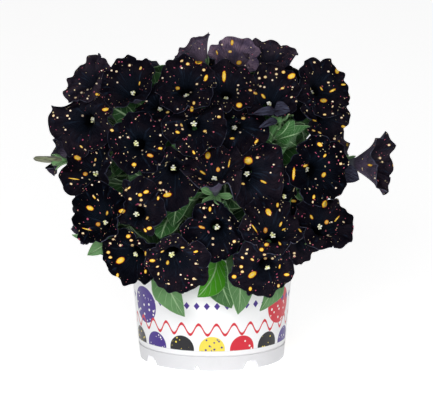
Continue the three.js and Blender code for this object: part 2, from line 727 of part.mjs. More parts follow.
let peat = makeSoil();
for (let sector = 0; sector < stem.count; sector++) {
  const { main } = stemCurves(sector);
  const places = [0, 1, 2].map((k) => main.getPoint(k / stem.steps));
  places[0].lerp(places[1], -0.15);
  const hole = new THREE.CatmullRomCurve3(places, false, 'catmullrom', 0);
  peat = peat.subtract(tube(hole, () => stem.radius + gap + 0.3, 2, 8));
}
model.add(meshOf('peat', mainPiece(peat), peatBrown));

export default model;
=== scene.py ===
import math

import bpy
import numpy as np
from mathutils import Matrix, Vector


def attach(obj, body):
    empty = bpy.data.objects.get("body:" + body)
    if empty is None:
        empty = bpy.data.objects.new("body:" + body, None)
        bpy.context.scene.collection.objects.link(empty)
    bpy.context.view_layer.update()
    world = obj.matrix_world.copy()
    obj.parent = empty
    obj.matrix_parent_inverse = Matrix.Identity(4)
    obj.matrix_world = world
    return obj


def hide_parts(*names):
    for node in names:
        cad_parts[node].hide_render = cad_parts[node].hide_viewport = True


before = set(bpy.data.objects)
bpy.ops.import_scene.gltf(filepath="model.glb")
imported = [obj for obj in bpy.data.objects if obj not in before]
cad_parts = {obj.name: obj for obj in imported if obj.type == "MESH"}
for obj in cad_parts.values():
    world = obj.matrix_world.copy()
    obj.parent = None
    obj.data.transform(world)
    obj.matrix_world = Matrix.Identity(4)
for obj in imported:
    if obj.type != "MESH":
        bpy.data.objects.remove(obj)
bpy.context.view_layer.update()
mm = 0.001
up = np.array([0.0, 0.0, 1.0])


# small helpers

def wave(a, b):
    value = math.sin(a * 127.1 + b * 311.7) * 43758.5453
    return value - math.floor(value)


def heading(turn, rise):
    turn, rise = math.radians(turn), math.radians(rise)
    return np.array([math.sin(turn) * math.cos(rise), -math.cos(turn) * math.cos(rise), math.sin(rise)])


def unit(vector):
    return vector / max(np.linalg.norm(vector), 1e-9)


def linear(code, alpha=1.0):
    # "#rrggbb" as a linear colour
    parts = [int(code[k:k + 2], 16) / 255 for k in (1, 3, 5)]
    return [c / 12.92 if c <= 0.04045 else ((c + 0.055) / 1.055) ** 2.4 for c in parts] + [alpha]


def selectOnly(*pieces):
    bpy.ops.object.select_all(action="DESELECT")
    for piece in pieces:
        piece.select_set(True)
    bpy.context.view_layer.objects.active = pieces[0]


def namePiece(name):
    piece = bpy.context.object
    piece.name = piece.data.name = name
    return piece


def copyOf(template, name):
    selectOnly(template)
    bpy.ops.object.duplicate()
    return namePiece(name)


def removePiece(piece):
    bpy.data.objects.remove(piece, do_unlink=True)


def readPoints(piece):
    points = np.empty(len(piece.data.vertices) * 3)
    piece.data.vertices.foreach_get("co", points)
    return points.reshape(-1, 3)


def movePoints(piece, points):
    piece.data.vertices.foreach_set("co", np.asarray(points, float).ravel())
    piece.data.update()


def finishWith(piece, kind, **settings):
    selectOnly(piece)
    modifier = piece.modifiers.new(kind.title(), kind)
    for key, value in settings.items():
        setattr(modifier, key, value)
    bpy.ops.object.modifier_apply(modifier=modifier.name)


def mergeSeams(piece, distance=0.00002, outward=False):
    selectOnly(piece)
    bpy.ops.object.mode_set(mode="EDIT")
    bpy.ops.mesh.select_all(action="SELECT")
    bpy.ops.mesh.remove_doubles(threshold=distance)
    if outward:
        bpy.ops.mesh.normals_make_consistent(inside=False)
    bpy.ops.object.mode_set(mode="OBJECT")


def smooth(piece, angle=40):
    selectOnly(piece)
    bpy.ops.object.shade_smooth_by_angle(angle=math.radians(angle))


def joinPieces(pieces, name):
    selectOnly(*pieces)
    bpy.ops.object.join()
    return namePiece(name)


def addMesh(operator, name, **settings):
    bpy.ops.object.select_all(action="DESELECT")
    operator(**settings)
    return namePiece(name)


def newGrid(name, across, along):
    return addMesh(bpy.ops.mesh.primitive_grid_add, name,
                   x_subdivisions=across, y_subdivisions=along, size=1)


def gridShares(piece):
    # how far along each side a grid's points lie, from 0 to 1
    flat = readPoints(piece)
    return flat[:, 0] + 0.5, flat[:, 1] + 0.5


def fillMap(piece, name, values):
    # a UV map from one pair of values for each face corner
    layer = piece.data.uv_layers.get(name) or piece.data.uv_layers.new(name=name)
    layer.data.foreach_set("uv", np.asarray(values, np.float32).ravel())


def cornerPoints(piece):
    corners = np.empty(len(piece.data.loops), np.int32)
    piece.data.loops.foreach_get("vertex_index", corners)
    return corners


def fillValue(piece, name, value):
    layer = piece.data.attributes.get(name) or piece.data.attributes.new(name, "FLOAT", "POINT")
    layer.data.foreach_set("value", np.full(len(piece.data.vertices), value, np.float32))


def setMaterialIndex(piece, index):
    faces = piece.data.polygons
    faces.foreach_set("material_index", np.full(len(faces), index, np.int32))


def giveMaterials(piece, *materials):
    piece.data.materials.clear()
    for material in materials:
        piece.data.materials.append(material)


# material helpers

# the material that is being made
current = {}


def newMaterial(name, **sockets):
    material = bpy.data.materials.new(name)
    material.use_nodes = True
    current["tree"] = material.node_tree
    current["shader"] = material.node_tree.nodes["Principled BSDF"]
    for key, value in sockets.items():
        current["shader"].inputs[key].default_value = value
    return material


def feed(key, socket):
    current["tree"].links.new(socket, current["shader"].inputs[key])


def addNode(kind, values=None, **settings):
    tree = current["tree"]
    made = tree.nodes.new(kind)
    for key, value in settings.items():
        setattr(made, key, value)
    for key, value in (values or {}).items():
        if isinstance(value, bpy.types.NodeSocket):
            tree.links.new(value, made.inputs[key])
        else:
            made.inputs[key].default_value = value
    return made


def maths(operation, a, b=0.0, c=0.0):
    return addNode("ShaderNodeMath", {0: a, 1: b, 2: c}, operation=operation).outputs[0]


def times(a, b):
    return maths("MULTIPLY", a, b)


def plus(a, b):
    return maths("ADD", a, b)


def minus(a, b):
    return maths("SUBTRACT", a, b)


def absolute(a):
    return maths("ABSOLUTE", a)


def vectorMaths(operation, a, b=(0, 0, 0)):
    made = addNode("ShaderNodeVectorMath", {0: a, 1: b}, operation=operation)
    return made.outputs["Value" if operation == "LENGTH" else "Vector"]


def mixColours(share, a, b):
    # a and b: a socket or "#rrggbb"
    a, b = (linear(value) if isinstance(value, str) else value for value in (a, b))
    return addNode("ShaderNodeMix", {0: share, 6: a, 7: b}, data_type="RGBA").outputs[2]


def between(value, low, high):
    # 0 below low, 1 above high
    return addNode("ShaderNodeMapRange", {0: value, 1: low, 2: high},
                   interpolation_type="SMOOTHSTEP").outputs[0]


def colourRamp(share, stops, interpolation="LINEAR"):
    ramp = addNode("ShaderNodeValToRGB", {0: share})
    ramp.color_ramp.interpolation = interpolation
    while len(ramp.color_ramp.elements) < len(stops):
        ramp.color_ramp.elements.new(0.5)
    for element, (place, code) in zip(ramp.color_ramp.elements, stops):
        element.position = place
        element.color = linear(code)
    return ramp.outputs[0]


def noiseOf(vector, scale, detail=3.0, roughness=0.55, distortion=0.0):
    return addNode("ShaderNodeTexNoise", {"Vector": vector, "Scale": scale, "Detail": detail,
                                          "Roughness": roughness, "Distortion": distortion}).outputs["Fac"]


def bumpOf(height, distance, strength=1.0):
    return addNode("ShaderNodeBump", {"Height": height, "Distance": distance,
                                      "Strength": strength}).outputs[0]


def mapOf(name):
    return addNode("ShaderNodeUVMap", uv_map=name).outputs[0]


def valueOf(name):
    return addNode("ShaderNodeAttribute", attribute_name=name).outputs["Fac"]


def axesOf(vector):
    return addNode("ShaderNodeSeparateXYZ", {0: vector}).outputs


def objectPlace():
    return addNode("ShaderNodeTexCoord").outputs["Object"]


print("frame loaded:", len(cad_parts), "nodes")

# camera, first of all
view = {"aim": (3.5, 0, 123.6), "elevation": 12, "away": 8.0, "lens": 858, "sensor": 36, "farthest": 50,
        "pixel": 0.775, "centre": (212, 356)}
lookDown = math.radians(view["elevation"])
viewAcross = np.array([1.0, 0.0, 0.0])
viewUp = np.array([0.0, math.sin(lookDown), math.cos(lookDown)])
towardsCamera = np.cross(viewAcross, viewUp)
bpy.ops.object.camera_add(location=np.array(view["aim"]) * mm + towardsCamera * view["away"],
                          rotation=(math.radians(90) - lookDown, 0, 0))
camera = bpy.context.object
camera.name = "mainCamera"
camera.data.lens = view["lens"]
camera.data.sensor_width = view["sensor"]
camera.data.clip_end = view["farthest"]
bpy.context.scene.camera = camera

# anthers: a few pale grains in each throat
anther = {"count": 5, "ring": 1.45, "height": -5.8, "deep": -19, "size": 0.85, "shape": (1.15, 0.85, 1.1)}

# blooms: where they are and how each one bends behind those that lie over it
blossom = {
    "diameter": 52, "throat": 4.3, "throatDepth": 14, "tubeLength": 30, "flareAt": 0.3, "throatShare": 0.6,
    "flarePower": 3.8, "skin": 0.55, "layerDrop": 4.5, "lobes": 5,
    "tube": [(0, -29.4), (1.3, -29.2), (2.0, -26), (2.9, -21.5), (3.8, -17.5), (4.5, -14.6)],
    # front and back blooms
    "segments": (100, 60), "rows": (16, 11), "spare": (9, 22), "softening": (3, 2),
    # size as a share of the radius, waves round the limb, number of the phase
    "outline": [(0.02, 8, 1), (0.015, 15, 4), (0.007, 22, 5)], "bend": [(0.07, 2, 2), (0.05, 7, 3)],
    "ruffle": [(0.065, 10, 6), (0.032, 17, 7)], "calm": 0.45, "crease": (0.045, 0.2), "eyeMost": 8.5,
    # least value and what a lobe adds
    "petalOut": (0.82, 0.17), "petalBend": (0.06, -0.12),
    "back": {"diameter": 55, "height": 6, "turn": 14, "rise": 12},
}
# how a limb or a leaf goes behind a bloom that lies over it
tucking = {"start": 2.4, "step": 1.6, "cup": 0.1, "slope": 1.1, "below": 22, "most": 24, "leanReach": 11,
           "leanRoom": 3}
# x, y, z, turn, rise, diameter, layer, cup
frontBlooms = [
    (-66, -30, 223, -30, 40, 48, 0, 0), (-97, -6, 221, -55, 38, 46, 0, 0),
    (-102, -27, 192, -28, 8, 59, 0, 0), (-101, -52, 164, -45, 22, 54, 1, 0),
    (-89, -74, 129, -40, 20, 52, 0, 0), (-65, -74, 92, -25, -18, 51, 1, 0),
    (-60, -98, 138, -20, 5, 50, 1, 0), (-58, -88, 187, -20, 15, 51, 1, 0),
    (-44, -58, 216, -10, 30, 46, 2, 0), (-21, -54, 226, -5, 40, 51, 0, 0), (-13, -88, 202, 0, 20, 52, 0, 0),
    (22, -80, 202, 12, 20, 50, 1, 0), (12, -45, 222, 5, 42, 48, 0, 0), (45, -50, 221, 16, 40, 50, 0, 0),
    (66, -32, 219, 26, 34, 46, 2, 0), (86, -24, 218, 35, 25, 50, 0, 0), (93, -34, 196, 40, 3, 46, 1, 0),
    (83, -62, 160, 30, 8, 56, 0, 0), (127, -8, 154, 72, 4, 50, 0, 0.3), (87, -56, 119, 30, 40, 52, 0, 0),
    (76, -42, 99, 44, -22, 46, 1, 0), (46, -96, 125, 8, 42, 52, 0, 0), (39, -94, 88, 12, -15, 53, 1, 0),
    (-26, -98, 94, -5, -18, 53, 0, 0), (2, -107, 119, 0, 2, 53, 1, 0), (1, -100, 171.5, -8, 62, 52, 0, 0),
    (36, -94, 166, 8, 12, 52, 1, 0), (-34, -98, 161, -5, 10, 52, 2, 0), (61, -80, 142, 20, 5, 48, 2, 0),
    (-20, -4, 254, -95, 56, 34, 2, 0.1), (18, -14, 246, 8, 54, 42, 2, 0.1),
    (47, -6, 249, 30, 74, 44, 2, 0.1),
]
backRows = [
    {"z": 110, "count": 6, "from": 97, "to": 258, "reach": 101, "pitch": -6, "layer": 1},
    {"z": 160, "count": 5, "from": 112, "to": 252, "reach": 114.5, "pitch": 10, "layer": 0},
    {"z": 202, "count": 5, "from": 104, "to": 258, "reach": 86, "pitch": 32, "layer": 1},
    {"z": 226, "count": 2, "from": 160, "to": 222, "reach": 48, "pitch": 58, "layer": 2},
]
domeCentre = np.array([-8.0, 0.0, 146.0])
# where the anthers show, in pixels of the photograph; the blooms left out keep theirs deep in the throat
eyes = {1: (134, 95), 4: (95, 175), 5: (107.5, 224), 6: (136, 254), 7: (137, 213.5), 8: (137, 144),
        11: (194, 124), 14: (269, 103), 20: (319, 227), 22: (272, 235), 23: (267, 267), 24: (172, 254),
        25: (217, 227), 26: (214.5, 179), 27: (247, 172), 28: (174, 168), 29: (285, 195)}
# by a bloom's number: how mauve its face is, how conical its throat (a low power) and how deep
paleness = {2: 0.14, 3: 0.06, 10: 0.04, 13: 0.05, 14: 0.05, 30: 0.7, 31: 0.95, 32: 0.24, 19: 0.12}
flares = {19: 2.0, 30: 1.5, 31: 1.9, 32: 2.6}
deepThroats = {19: 1.25, 30: 1.75, 31: 1.4}


def plane(points):
    # where points stand as seen from the front, in mm across and up
    return np.stack([points @ viewAcross, points @ viewUp], -1)


def fromPixels(x, y):
    # a place in the photograph as mm across and up
    return (x - view["centre"][0]) * view["pixel"], (view["centre"][1] - y) * view["pixel"]


def backBlooms():
    rows, play = [], blossom["back"]
    for r, row in enumerate(backRows):
        for k in range(row["count"]):
            turn = row["from"] + (row["to"] - row["from"]) * k / (row["count"] - 1)
            x, y, _ = heading(turn, 0) * row["reach"]
            z = row["z"] + play["height"] * (wave(k, r) - 0.5)
            turn += play["turn"] * (wave(r, k) - 0.5)
            rise = row["pitch"] + play["rise"] * (wave(k + 3, r) - 0.5)
            rows.append((domeCentre[0] + x, y, z, turn, rise, play["diameter"], row["layer"], 0))
    return rows


def listBlooms():
    keys = ("turn", "rise", "diameter", "layer", "cup")
    rows = [dict(zip(keys, b[3:]), centre=np.array(b[:3], float)) for b in frontBlooms + backBlooms()]
    for index, b in enumerate(rows):
        axis = heading(b["turn"], b["rise"])
        side = unit(np.cross(np.array([0.0, 1.0, 0.0]) if abs(axis[2]) > 0.95 else up, axis))
        scale = b["diameter"] / blossom["diameter"]
        centre = b["centre"] - axis * blossom["layerDrop"] * b["layer"]
        number, front = index + 1, index < len(frontBlooms)
        b.update(index=index, number=number, front=front, grade=0 if front else 1, axis=axis, side=side,
                 up=np.cross(axis, side), scale=scale, centre=centre, radius=b["diameter"] / 2,
                 eye=np.zeros(3), root=centre - axis * blossom["tubeLength"] * scale,
                 roll=wave(index, 7) * 2 * math.pi, rank=b["layer"] + index / 1000,
                 flarePower=flares.get(number, blossom["flarePower"]), deep=deepThroats.get(number, 1.0),
                 calm=blossom["calm"] if number in flares else 1.0,
                 pale=paleness.get(number, 0.06 * wave(index, 3)))
        if number in eyes:
            now = plane(centre + axis * anther["height"] * scale)
            across = np.stack([plane(side), plane(b["up"])], 1)
            shift = np.linalg.lstsq(across, fromPixels(*eyes[number]) - now, rcond=0.35)[0]
            shift *= min(1, blossom["eyeMost"] / max(np.linalg.norm(shift), 1e-6))
            b["eye"] = side * shift[0] + b["up"] * shift[1]
    return rows


blooms = listBlooms()


def throatLine(t, scale, power=blossom["flarePower"]):
    return -blossom["throatDepth"] * scale * (1 - t) ** power


def tuck(points, rank, layer, spare=blossom["spare"][0], throatRoom=0):
    # bends points behind every bloom that lies over them; spare is how far past an edge that reaches
    moved = np.array(points, float)
    for over in blooms:
        if over["rank"] >= rank:
            continue
        away = moved - over["centre"]
        height = away @ over["axis"]
        rho = np.sqrt(np.maximum(0, (away ** 2).sum(-1) - height ** 2))
        radius = over["radius"]
        t = np.clip((rho - blossom["throat"]) / (radius - blossom["throat"]), 0, 1)
        room = tucking["start"] + tucking["step"] * (layer - over["layer"])
        room = room + (tucking["cup"] - over["cup"]) * radius * t * t + throatRoom * (1 - t)
        limit = throatLine(t, over["scale"]) - room + tucking["slope"] * np.maximum(0, rho - radius)
        if over["eye"].any():
            # the throat of this one leans aside
            offset = away - over["eye"]
            beside = np.sqrt(np.maximum(0, (offset ** 2).sum(-1) - height ** 2))
            share = np.clip((beside - blossom["throat"]) / (radius - blossom["throat"]), 0, 1)
            leant = throatLine(share, over["scale"]) - room - tucking["leanRoom"]
            close = beside < tucking["leanReach"] + throatRoom / 2
            limit = np.where(close, np.minimum(limit, leant), limit)
        near = (rho <= radius + spare) & (height >= -tucking["below"] * over["scale"]) & (height > limit)
        shift = np.where(near, np.maximum(limit - height, -tucking["most"]), 0)
        moved += shift[..., None] * over["axis"]
    return moved


def softened(shift, rounds):
    # evens out a field of shifts laid out as rows round a bloom
    for _ in range(rounds):
        shift = (np.roll(shift, 1, 1) + 2 * shift + np.roll(shift, -1, 1)) / 4
        inner = np.concatenate([shift[:1], shift, shift[-1:]])
        shift = (inner[:-2] + 2 * shift + inner[2:]) / 4
    return shift


def facePoints(bloom, angle, t):
    # how far out and how high a bloom's face lies, t being 0 in the throat and 1 at the edge
    def waves(key):
        return sum(size * np.sin(count * angle + 2 * math.pi * wave(bloom["index"], k))
                   for size, count, k in blossom[key])

    radius, s = bloom["radius"], bloom["scale"]
    swing = np.sin(blossom["lobes"] / 2 * angle)
    lobe = np.abs(swing) ** 0.6
    least, more = blossom["petalOut"]
    rho = blossom["throat"] * s * (1 - t) + radius * (least + more * lobe + waves("outline")) * t
    least, more = blossom["petalBend"]
    forward = least + more * lobe + waves("bend") + bloom["cup"]
    depth, width = blossom["crease"]
    crease = -depth * np.exp(-(swing / width) ** 2) * np.sin(np.pi * t)
    rise = forward * t ** 2 + waves("ruffle") * bloom["calm"] * t ** 4 + crease
    return rho, throatLine(t, s * bloom["deep"], bloom["flarePower"]) + radius * rise


def placeRound(bloom, angle, rho, height, t=1.0):
    a = angle + bloom["roll"]
    lean = np.clip(1 - np.asarray(t, float), 0, 1) ** 1.6
    spoke = rho[..., None] * (np.cos(a)[..., None] * bloom["side"] + np.sin(a)[..., None] * bloom["up"])
    return bloom["centre"] + lean[..., None] * bloom["eye"] + spoke + height[..., None] * bloom["axis"]


# yellow and cream marks on the petals, in pixels of the photograph: x, y, length, width, tilt; a sixth
# number is the warmth, which otherwise follows from the length
marks = [
    (98, 95, 5, 3, -10), (130, 66, 3, 3, 0), (141, 69, 4, 2.6, 60), (112, 71, 2.4, 2.2, 0),
    (117, 72, 2.6, 2.4, 0), (140, 84, 4.5, 1.6, 80), (106, 110, 7, 4, 8), (102, 71, 1.8, 1.6, 0),
    (97, 84, 2.4, 2, 0), (118, 83, 2, 1.8, 0), (88, 90, 2.2, 2.2, 0), (82, 93, 2.6, 2.4, 20),
    (76, 98, 3, 2, 20), (88, 99, 2.2, 2, 0), (80, 84, 2, 2, 0), (54, 116, 3, 2.6, 30), (58, 118, 2, 2, 0),
    (71, 111, 2.2, 2, 0), (68, 116, 3, 2.4, 0), (70, 119, 2, 2, 0), (83, 116, 2.6, 2.6, 0),
    (66, 130, 2.2, 2.2, 0), (53, 139, 2.6, 2.4, 0), (60, 147, 2.2, 1.8, 40), (78, 158, 8, 5, -20),
    (82, 147, 4, 2, -40), (86, 150, 3, 1.6, -40), (86, 174, 5, 4.6, 0, 1.7), (75, 179, 12, 1.4, -8),
    (72, 184, 3, 2.4, -30), (96, 160, 4, 2, 80), (95, 165, 3, 2, 60), (97, 153, 3, 1.8, -50),
    (83, 178, 2.2, 1.8, 0), (113, 131, 4, 3, -20), (121, 138, 2.4, 2.2, 0), (129, 138, 2.6, 2.2, 0),
    (135, 165, 5, 4.4, 0), (151, 156, 7, 4, -15, 1.7), (118, 168, 4, 2.2, -30), (161, 149, 4.5, 3, 0),
    (161, 136, 2.6, 2.4, 0), (160, 165, 2.4, 2, 0), (178, 133, 5, 3, -20), (112, 163, 2.2, 2, 0),
    (143, 151, 2.6, 1.8, 20), (116, 173, 2.2, 1.8, 0), (91, 208, 8, 5, -20), (95, 197, 5, 2, -50),
    (99, 200, 3, 1.4, -50), (108, 213, 5, 2.4, 80), (99, 224, 5, 4.6, 0, 1.7), (88, 229, 11, 1.4, -14),
    (84, 233, 3, 2.4, 0), (93, 185, 2.4, 2, 0), (100, 182, 2.2, 1.8, 0), (123, 211, 7, 5, 5),
    (131, 199, 3.6, 3.2, 0), (141, 195, 4.4, 4, 0), (147, 192, 6, 4, 15), (142, 200, 3.4, 3, 0),
    (141, 205, 3.2, 3, 0), (121, 193, 3.2, 2.4, 60), (127, 190, 3.4, 2.6, 30), (130, 188, 4, 2, 40),
    (168, 195, 9, 5, 12), (146, 206, 3, 2, 0), (159, 198, 5, 2.6, 80), (160, 190, 3, 1.8, 10),
    (148, 218, 4, 2.6, 60), (150, 228, 6, 4, 15), (146, 230, 4.4, 2.6, -60), (134, 231, 4.6, 4, 10),
    (161, 183, 3.6, 3, 20), (164, 190, 2.4, 2, 0), (121, 260, 10, 6.4, 32), (109, 252, 4, 3.4, 0),
    (111, 257, 4, 3, 0), (102, 262, 4.4, 4, 0), (129, 236, 4.6, 4.4, 0), (132, 240, 3.6, 2.8, 0),
    (133, 245, 3.4, 2.8, 0), (121, 245, 3, 2.8, 0), (111, 243, 3, 2.4, -20), (114, 239, 3.2, 2.4, 0),
    (118, 275, 5, 3, 80), (146, 253, 5, 2, 85), (153, 260, 6.4, 3.6, 0), (146, 271, 4.4, 2.8, 85),
    (159, 273, 3.4, 2.2, 80), (158, 266, 3.6, 2, 20), (116, 236, 3, 1.6, 50), (140, 243, 2.6, 2, 0),
    (168, 262, 4.6, 3.4, 80), (183, 247, 4, 2, 0), (163, 251, 4.2, 2, 25), (196, 251, 5, 2.6, 15),
    (196, 263, 2.8, 2.4, 0), (181, 274, 2.2, 2, 0), (194, 278, 3.2, 2.8, 0), (169, 283, 3, 1.8, -20),
    (192, 284, 2.6, 2, 0), (202, 227, 7, 3, -20, 1.7), (213, 238, 3, 2.8, 0), (230, 228, 3, 2.6, 0),
    (234, 241, 3.6, 3.4, 0), (210, 209, 5, 3, 85), (204, 208, 3, 2.6, 0), (205, 217, 3, 1.8, -10),
    (213, 244, 2.8, 2.4, 0), (229, 220, 2.2, 2, 0), (231, 203, 2.4, 1.8, 20), (213, 205, 2.2, 2, 0),
    (208, 156, 8, 6, 85), (218, 170, 5, 4.4, 80, 1.7), (203, 173, 7.4, 2.4, -35), (229, 164, 9, 1.6, 78),
    (200, 179, 3.4, 1.6, -20), (194, 153, 4.6, 2.6, -60), (197, 159, 3, 2, -60), (187, 159, 2.2, 1.8, 0),
    (223, 168, 2.4, 2, 0), (224, 182, 2.4, 2, 0), (248, 161, 9, 9, 0), (257, 158, 3.4, 3, 0),
    (263, 182, 7.4, 2.4, -25), (243, 184, 4, 2.4, -10), (270, 173, 2.2, 1.8, 0), (273, 165, 2.2, 1.8, 0),
    (250, 225, 2, 2, 0), (293, 174, 14, 3, 85), (305, 166, 6, 3, 12), (323, 175, 6, 4.4, 60),
    (324, 156, 4.4, 2.6, 50), (340, 164, 3.2, 3, 0), (319, 145, 6, 4.4, -30), (348, 165, 2.4, 2, 0),
    (333, 147, 2.4, 1.6, -30), (340, 152, 2.2, 1.8, 0), (315, 179, 2.4, 1.8, 0), (335, 188, 2, 1.8, 0),
    (293, 201, 6, 3, -5), (277, 205, 5, 3, 80), (313, 197, 5, 3, 80), (312, 202, 3, 2, 80),
    (324, 204, 8, 6, 70), (311, 217, 5.4, 3, -60), (326, 222, 5, 4.6, 60, 1.7), (336, 219, 10, 1.6, 50),
    (343, 222, 2.8, 1.8, -40), (327, 235, 2.4, 2, 0), (331, 222, 2.4, 1.6, 0), (268, 212, 8, 6, -60),
    (279, 210, 3, 1.8, 90), (265, 230, 6, 4.6, 80, 1.7), (254, 228, 12, 1.6, -55), (280, 224, 6, 2.4, 65),
    (283, 229, 4.4, 1.6, 30), (248, 229, 3, 2, 80), (240, 208, 3.4, 1.8, -50), (252, 274, 10, 6, 35),
    (241, 266, 4, 3.6, 0), (242, 271, 3.6, 3, 0), (234, 276, 5, 4.4, 0), (261, 249, 4.6, 4.2, 0),
    (264, 254, 3.4, 3, 0), (265, 258, 3.6, 3, 0), (252, 259, 4, 2.6, -30), (246, 253, 3, 2.4, 0),
    (247, 249, 3, 2, 40), (242, 257, 3.6, 2.6, -40), (266, 244, 5, 4, 10), (279, 243, 4.4, 2.4, -60),
    (272, 258, 3, 2.6, 0), (286, 274, 6, 3.4, 0), (279, 266, 5, 1.8, 80), (250, 288, 4.4, 3.6, 80),
    (278, 285, 4, 3.2, 80), (289, 286, 3, 2.4, 0), (294, 253, 3, 2.8, 0), (294, 256, 2.8, 2.6, 0),
    (313, 253, 2.4, 2, 0), (299, 230, 4.6, 2, -50), (192, 110, 6, 4, 85), (194, 104, 4, 3, 80),
    (205, 132, 4, 2.8, 10), (177, 126, 3, 2.2, 0), (182, 126, 4, 2.2, -60), (183, 130, 3, 2.4, -30),
    (190, 136, 3.4, 2, -10), (168, 113, 4, 2.4, 10), (187, 117, 2.4, 2, 0), (178, 110, 2.2, 2, 0),
    (191, 93, 2.4, 2, 0), (147, 102, 2.4, 2, 0), (160, 121, 2, 1.8, 0), (178, 89, 4.6, 4, 0),
    (199, 63, 8, 5, 10), (188, 65, 4, 3.4, 0), (182, 62, 3.6, 2.6, 30), (206, 79, 7.4, 4, 70),
    (204, 71, 3.6, 3.2, 0), (197, 85, 3, 2.4, 20), (160, 72, 2.4, 2, 0), (163, 79, 2.2, 2, 0),
    (182, 69, 2.4, 2, 0), (239, 106, 6.4, 6, 0), (243, 119, 4, 3.6, 0), (219, 118, 4, 3, 0),
    (232, 139, 5, 2.4, 5), (256, 142, 6, 2.6, 50), (238, 94, 2.2, 2, 0), (240, 133, 2.2, 2, 0),
    (220, 110, 2.4, 1.6, 20), (224, 77, 12, 4.4, 88), (239, 63, 6, 5, 20), (238, 86, 2.6, 2, 0),
    (245, 66, 2.2, 2, 0), (263, 97, 6.4, 3, -50), (255, 94, 4.2, 3, -20), (250, 91, 3.8, 2.6, -20),
    (265, 78, 3.4, 3, 0), (259, 79, 3, 3, 0), (260, 87, 2.6, 2.2, 0), (264, 88, 2.6, 2.2, 0),
    (272, 81, 2.2, 2, 0), (291, 77, 9, 6, 25), (283, 73, 4, 3.6, 0), (276, 70, 3, 2.6, 0),
    (276, 75, 3, 2.6, 0), (282, 89, 4, 2.6, 20), (291, 98, 3, 2, 30), (296, 102, 3, 2, 10),
    (292, 88, 2.2, 2, 0), (337, 71, 7, 5, 80), (332, 91, 7.4, 2.4, 28), (343, 85, 5, 2.2, 0),
    (321, 89, 5, 2, -55), (323, 101, 7.6, 4.8, 0), (328, 83, 3, 2, 0), (314, 63, 3, 2.4, 0),
    (328, 72, 2.6, 2.2, 0), (332, 102, 2.4, 2, 0), (343, 127, 5, 3, -15), (314, 121, 5, 1.6, -20),
    (313, 131, 4, 1.8, -20), (319, 133, 4, 1.8, -30), (334, 139, 3, 2.6, 0), (324, 115, 3.6, 2, 0),
    (332, 114, 2.4, 1.8, 0), (341, 118, 2.6, 2, 0), (332, 107, 3, 1.6, 60), (232, 43, 6, 3.4, 85),
    (230, 52, 4, 3, 0), (217, 53, 5, 2, -70), (222, 45, 2.4, 2, 0), (199, 49, 2.2, 2, 0),
    (370, 165, 5, 3, -10), (380, 158, 3, 3, 0), (389, 145, 3, 2.6, 0), (394, 165, 4, 2.4, 80),
    (375, 178, 2.4, 2, 0),
]


# half length and half width of a mark as shares of its row, the length from which it is warm, and the
# number, sizes and places of the marks on a back bloom
marking = {"length": 0.43, "width": 0.4, "cream": 2.4, "warming": 2.2,
           "backCount": 16, "backSize": (0.6, 2.2), "backReach": (0.25, 0.68), "backTilt": 40}


def marksFor(bloom):
    # rows of centre, half length, half width, tilt and warmth, in mm on the plane of drawing
    rows, index = [], bloom["index"]
    if bloom["front"]:
        for x, y, length, width, tilt, *warmth in marks:
            warm = warmth[0] if warmth else min(1, max(0, (length - marking["cream"]) / marking["warming"]))
            rows.append((*fromPixels(x, y), length * view["pixel"] * marking["length"],
                         width * view["pixel"] * marking["width"], tilt, warm))
        return np.array(rows)
    for k in range(marking["backCount"]):
        least, more = marking["backSize"]
        size = least + more * wave(index, k + 20) ** 2.5
        angle = 2 * math.pi * wave(index, k + 40)
        least, more = marking["backReach"]
        rho = bloom["radius"] * (least + more * wave(index, k + 60) ** 0.6)
        tilt = math.degrees(angle) + marking["backTilt"] * (wave(k + 5, index) - 0.5)
        rows.append((rho * math.cos(angle), rho * math.sin(angle), size * 1.3,
                     size * (0.55 + 0.4 * wave(k, index)), tilt, min(1, size / 1.6)))
    return np.array(rows)


def drawMarks(piece, bloom, flat):
    # a UV map that runs from 0 at the middle of the nearest mark to 1 at its edge
    rows = marksFor(bloom)
    turn = np.radians(rows[:, 4])
    corners = cornerPoints(piece)
    totals = np.empty(len(piece.data.polygons), np.int32)
    piece.data.polygons.foreach_get("loop_total", totals)
    owner = np.repeat(np.arange(len(totals)), totals)
    spots = flat[corners]
    middle = np.stack([np.bincount(owner, spots[:, k]) / totals for k in (0, 1)], -1)

    def local(points, row):
        away = points - rows[row][..., :2]
        c, s = np.cos(turn[row]), np.sin(turn[row])
        return np.stack([(away[..., 0] * c + away[..., 1] * s) / rows[row][..., 2],
                         (away[..., 1] * c - away[..., 0] * s) / rows[row][..., 3]], -1)

    sizes = (rows[:, 2] + rows[:, 3]) / 2
    nearest = np.argmin(np.linalg.norm(middle[:, None, :] - rows[None, :, :2], axis=-1) - sizes, 1)
    fillMap(piece, "mark", local(spots, nearest[owner]))
    layer = piece.data.attributes.new("warmth", "FLOAT", "CORNER")
    layer.data.foreach_set("value", rows[nearest[owner], 5].astype(np.float32))


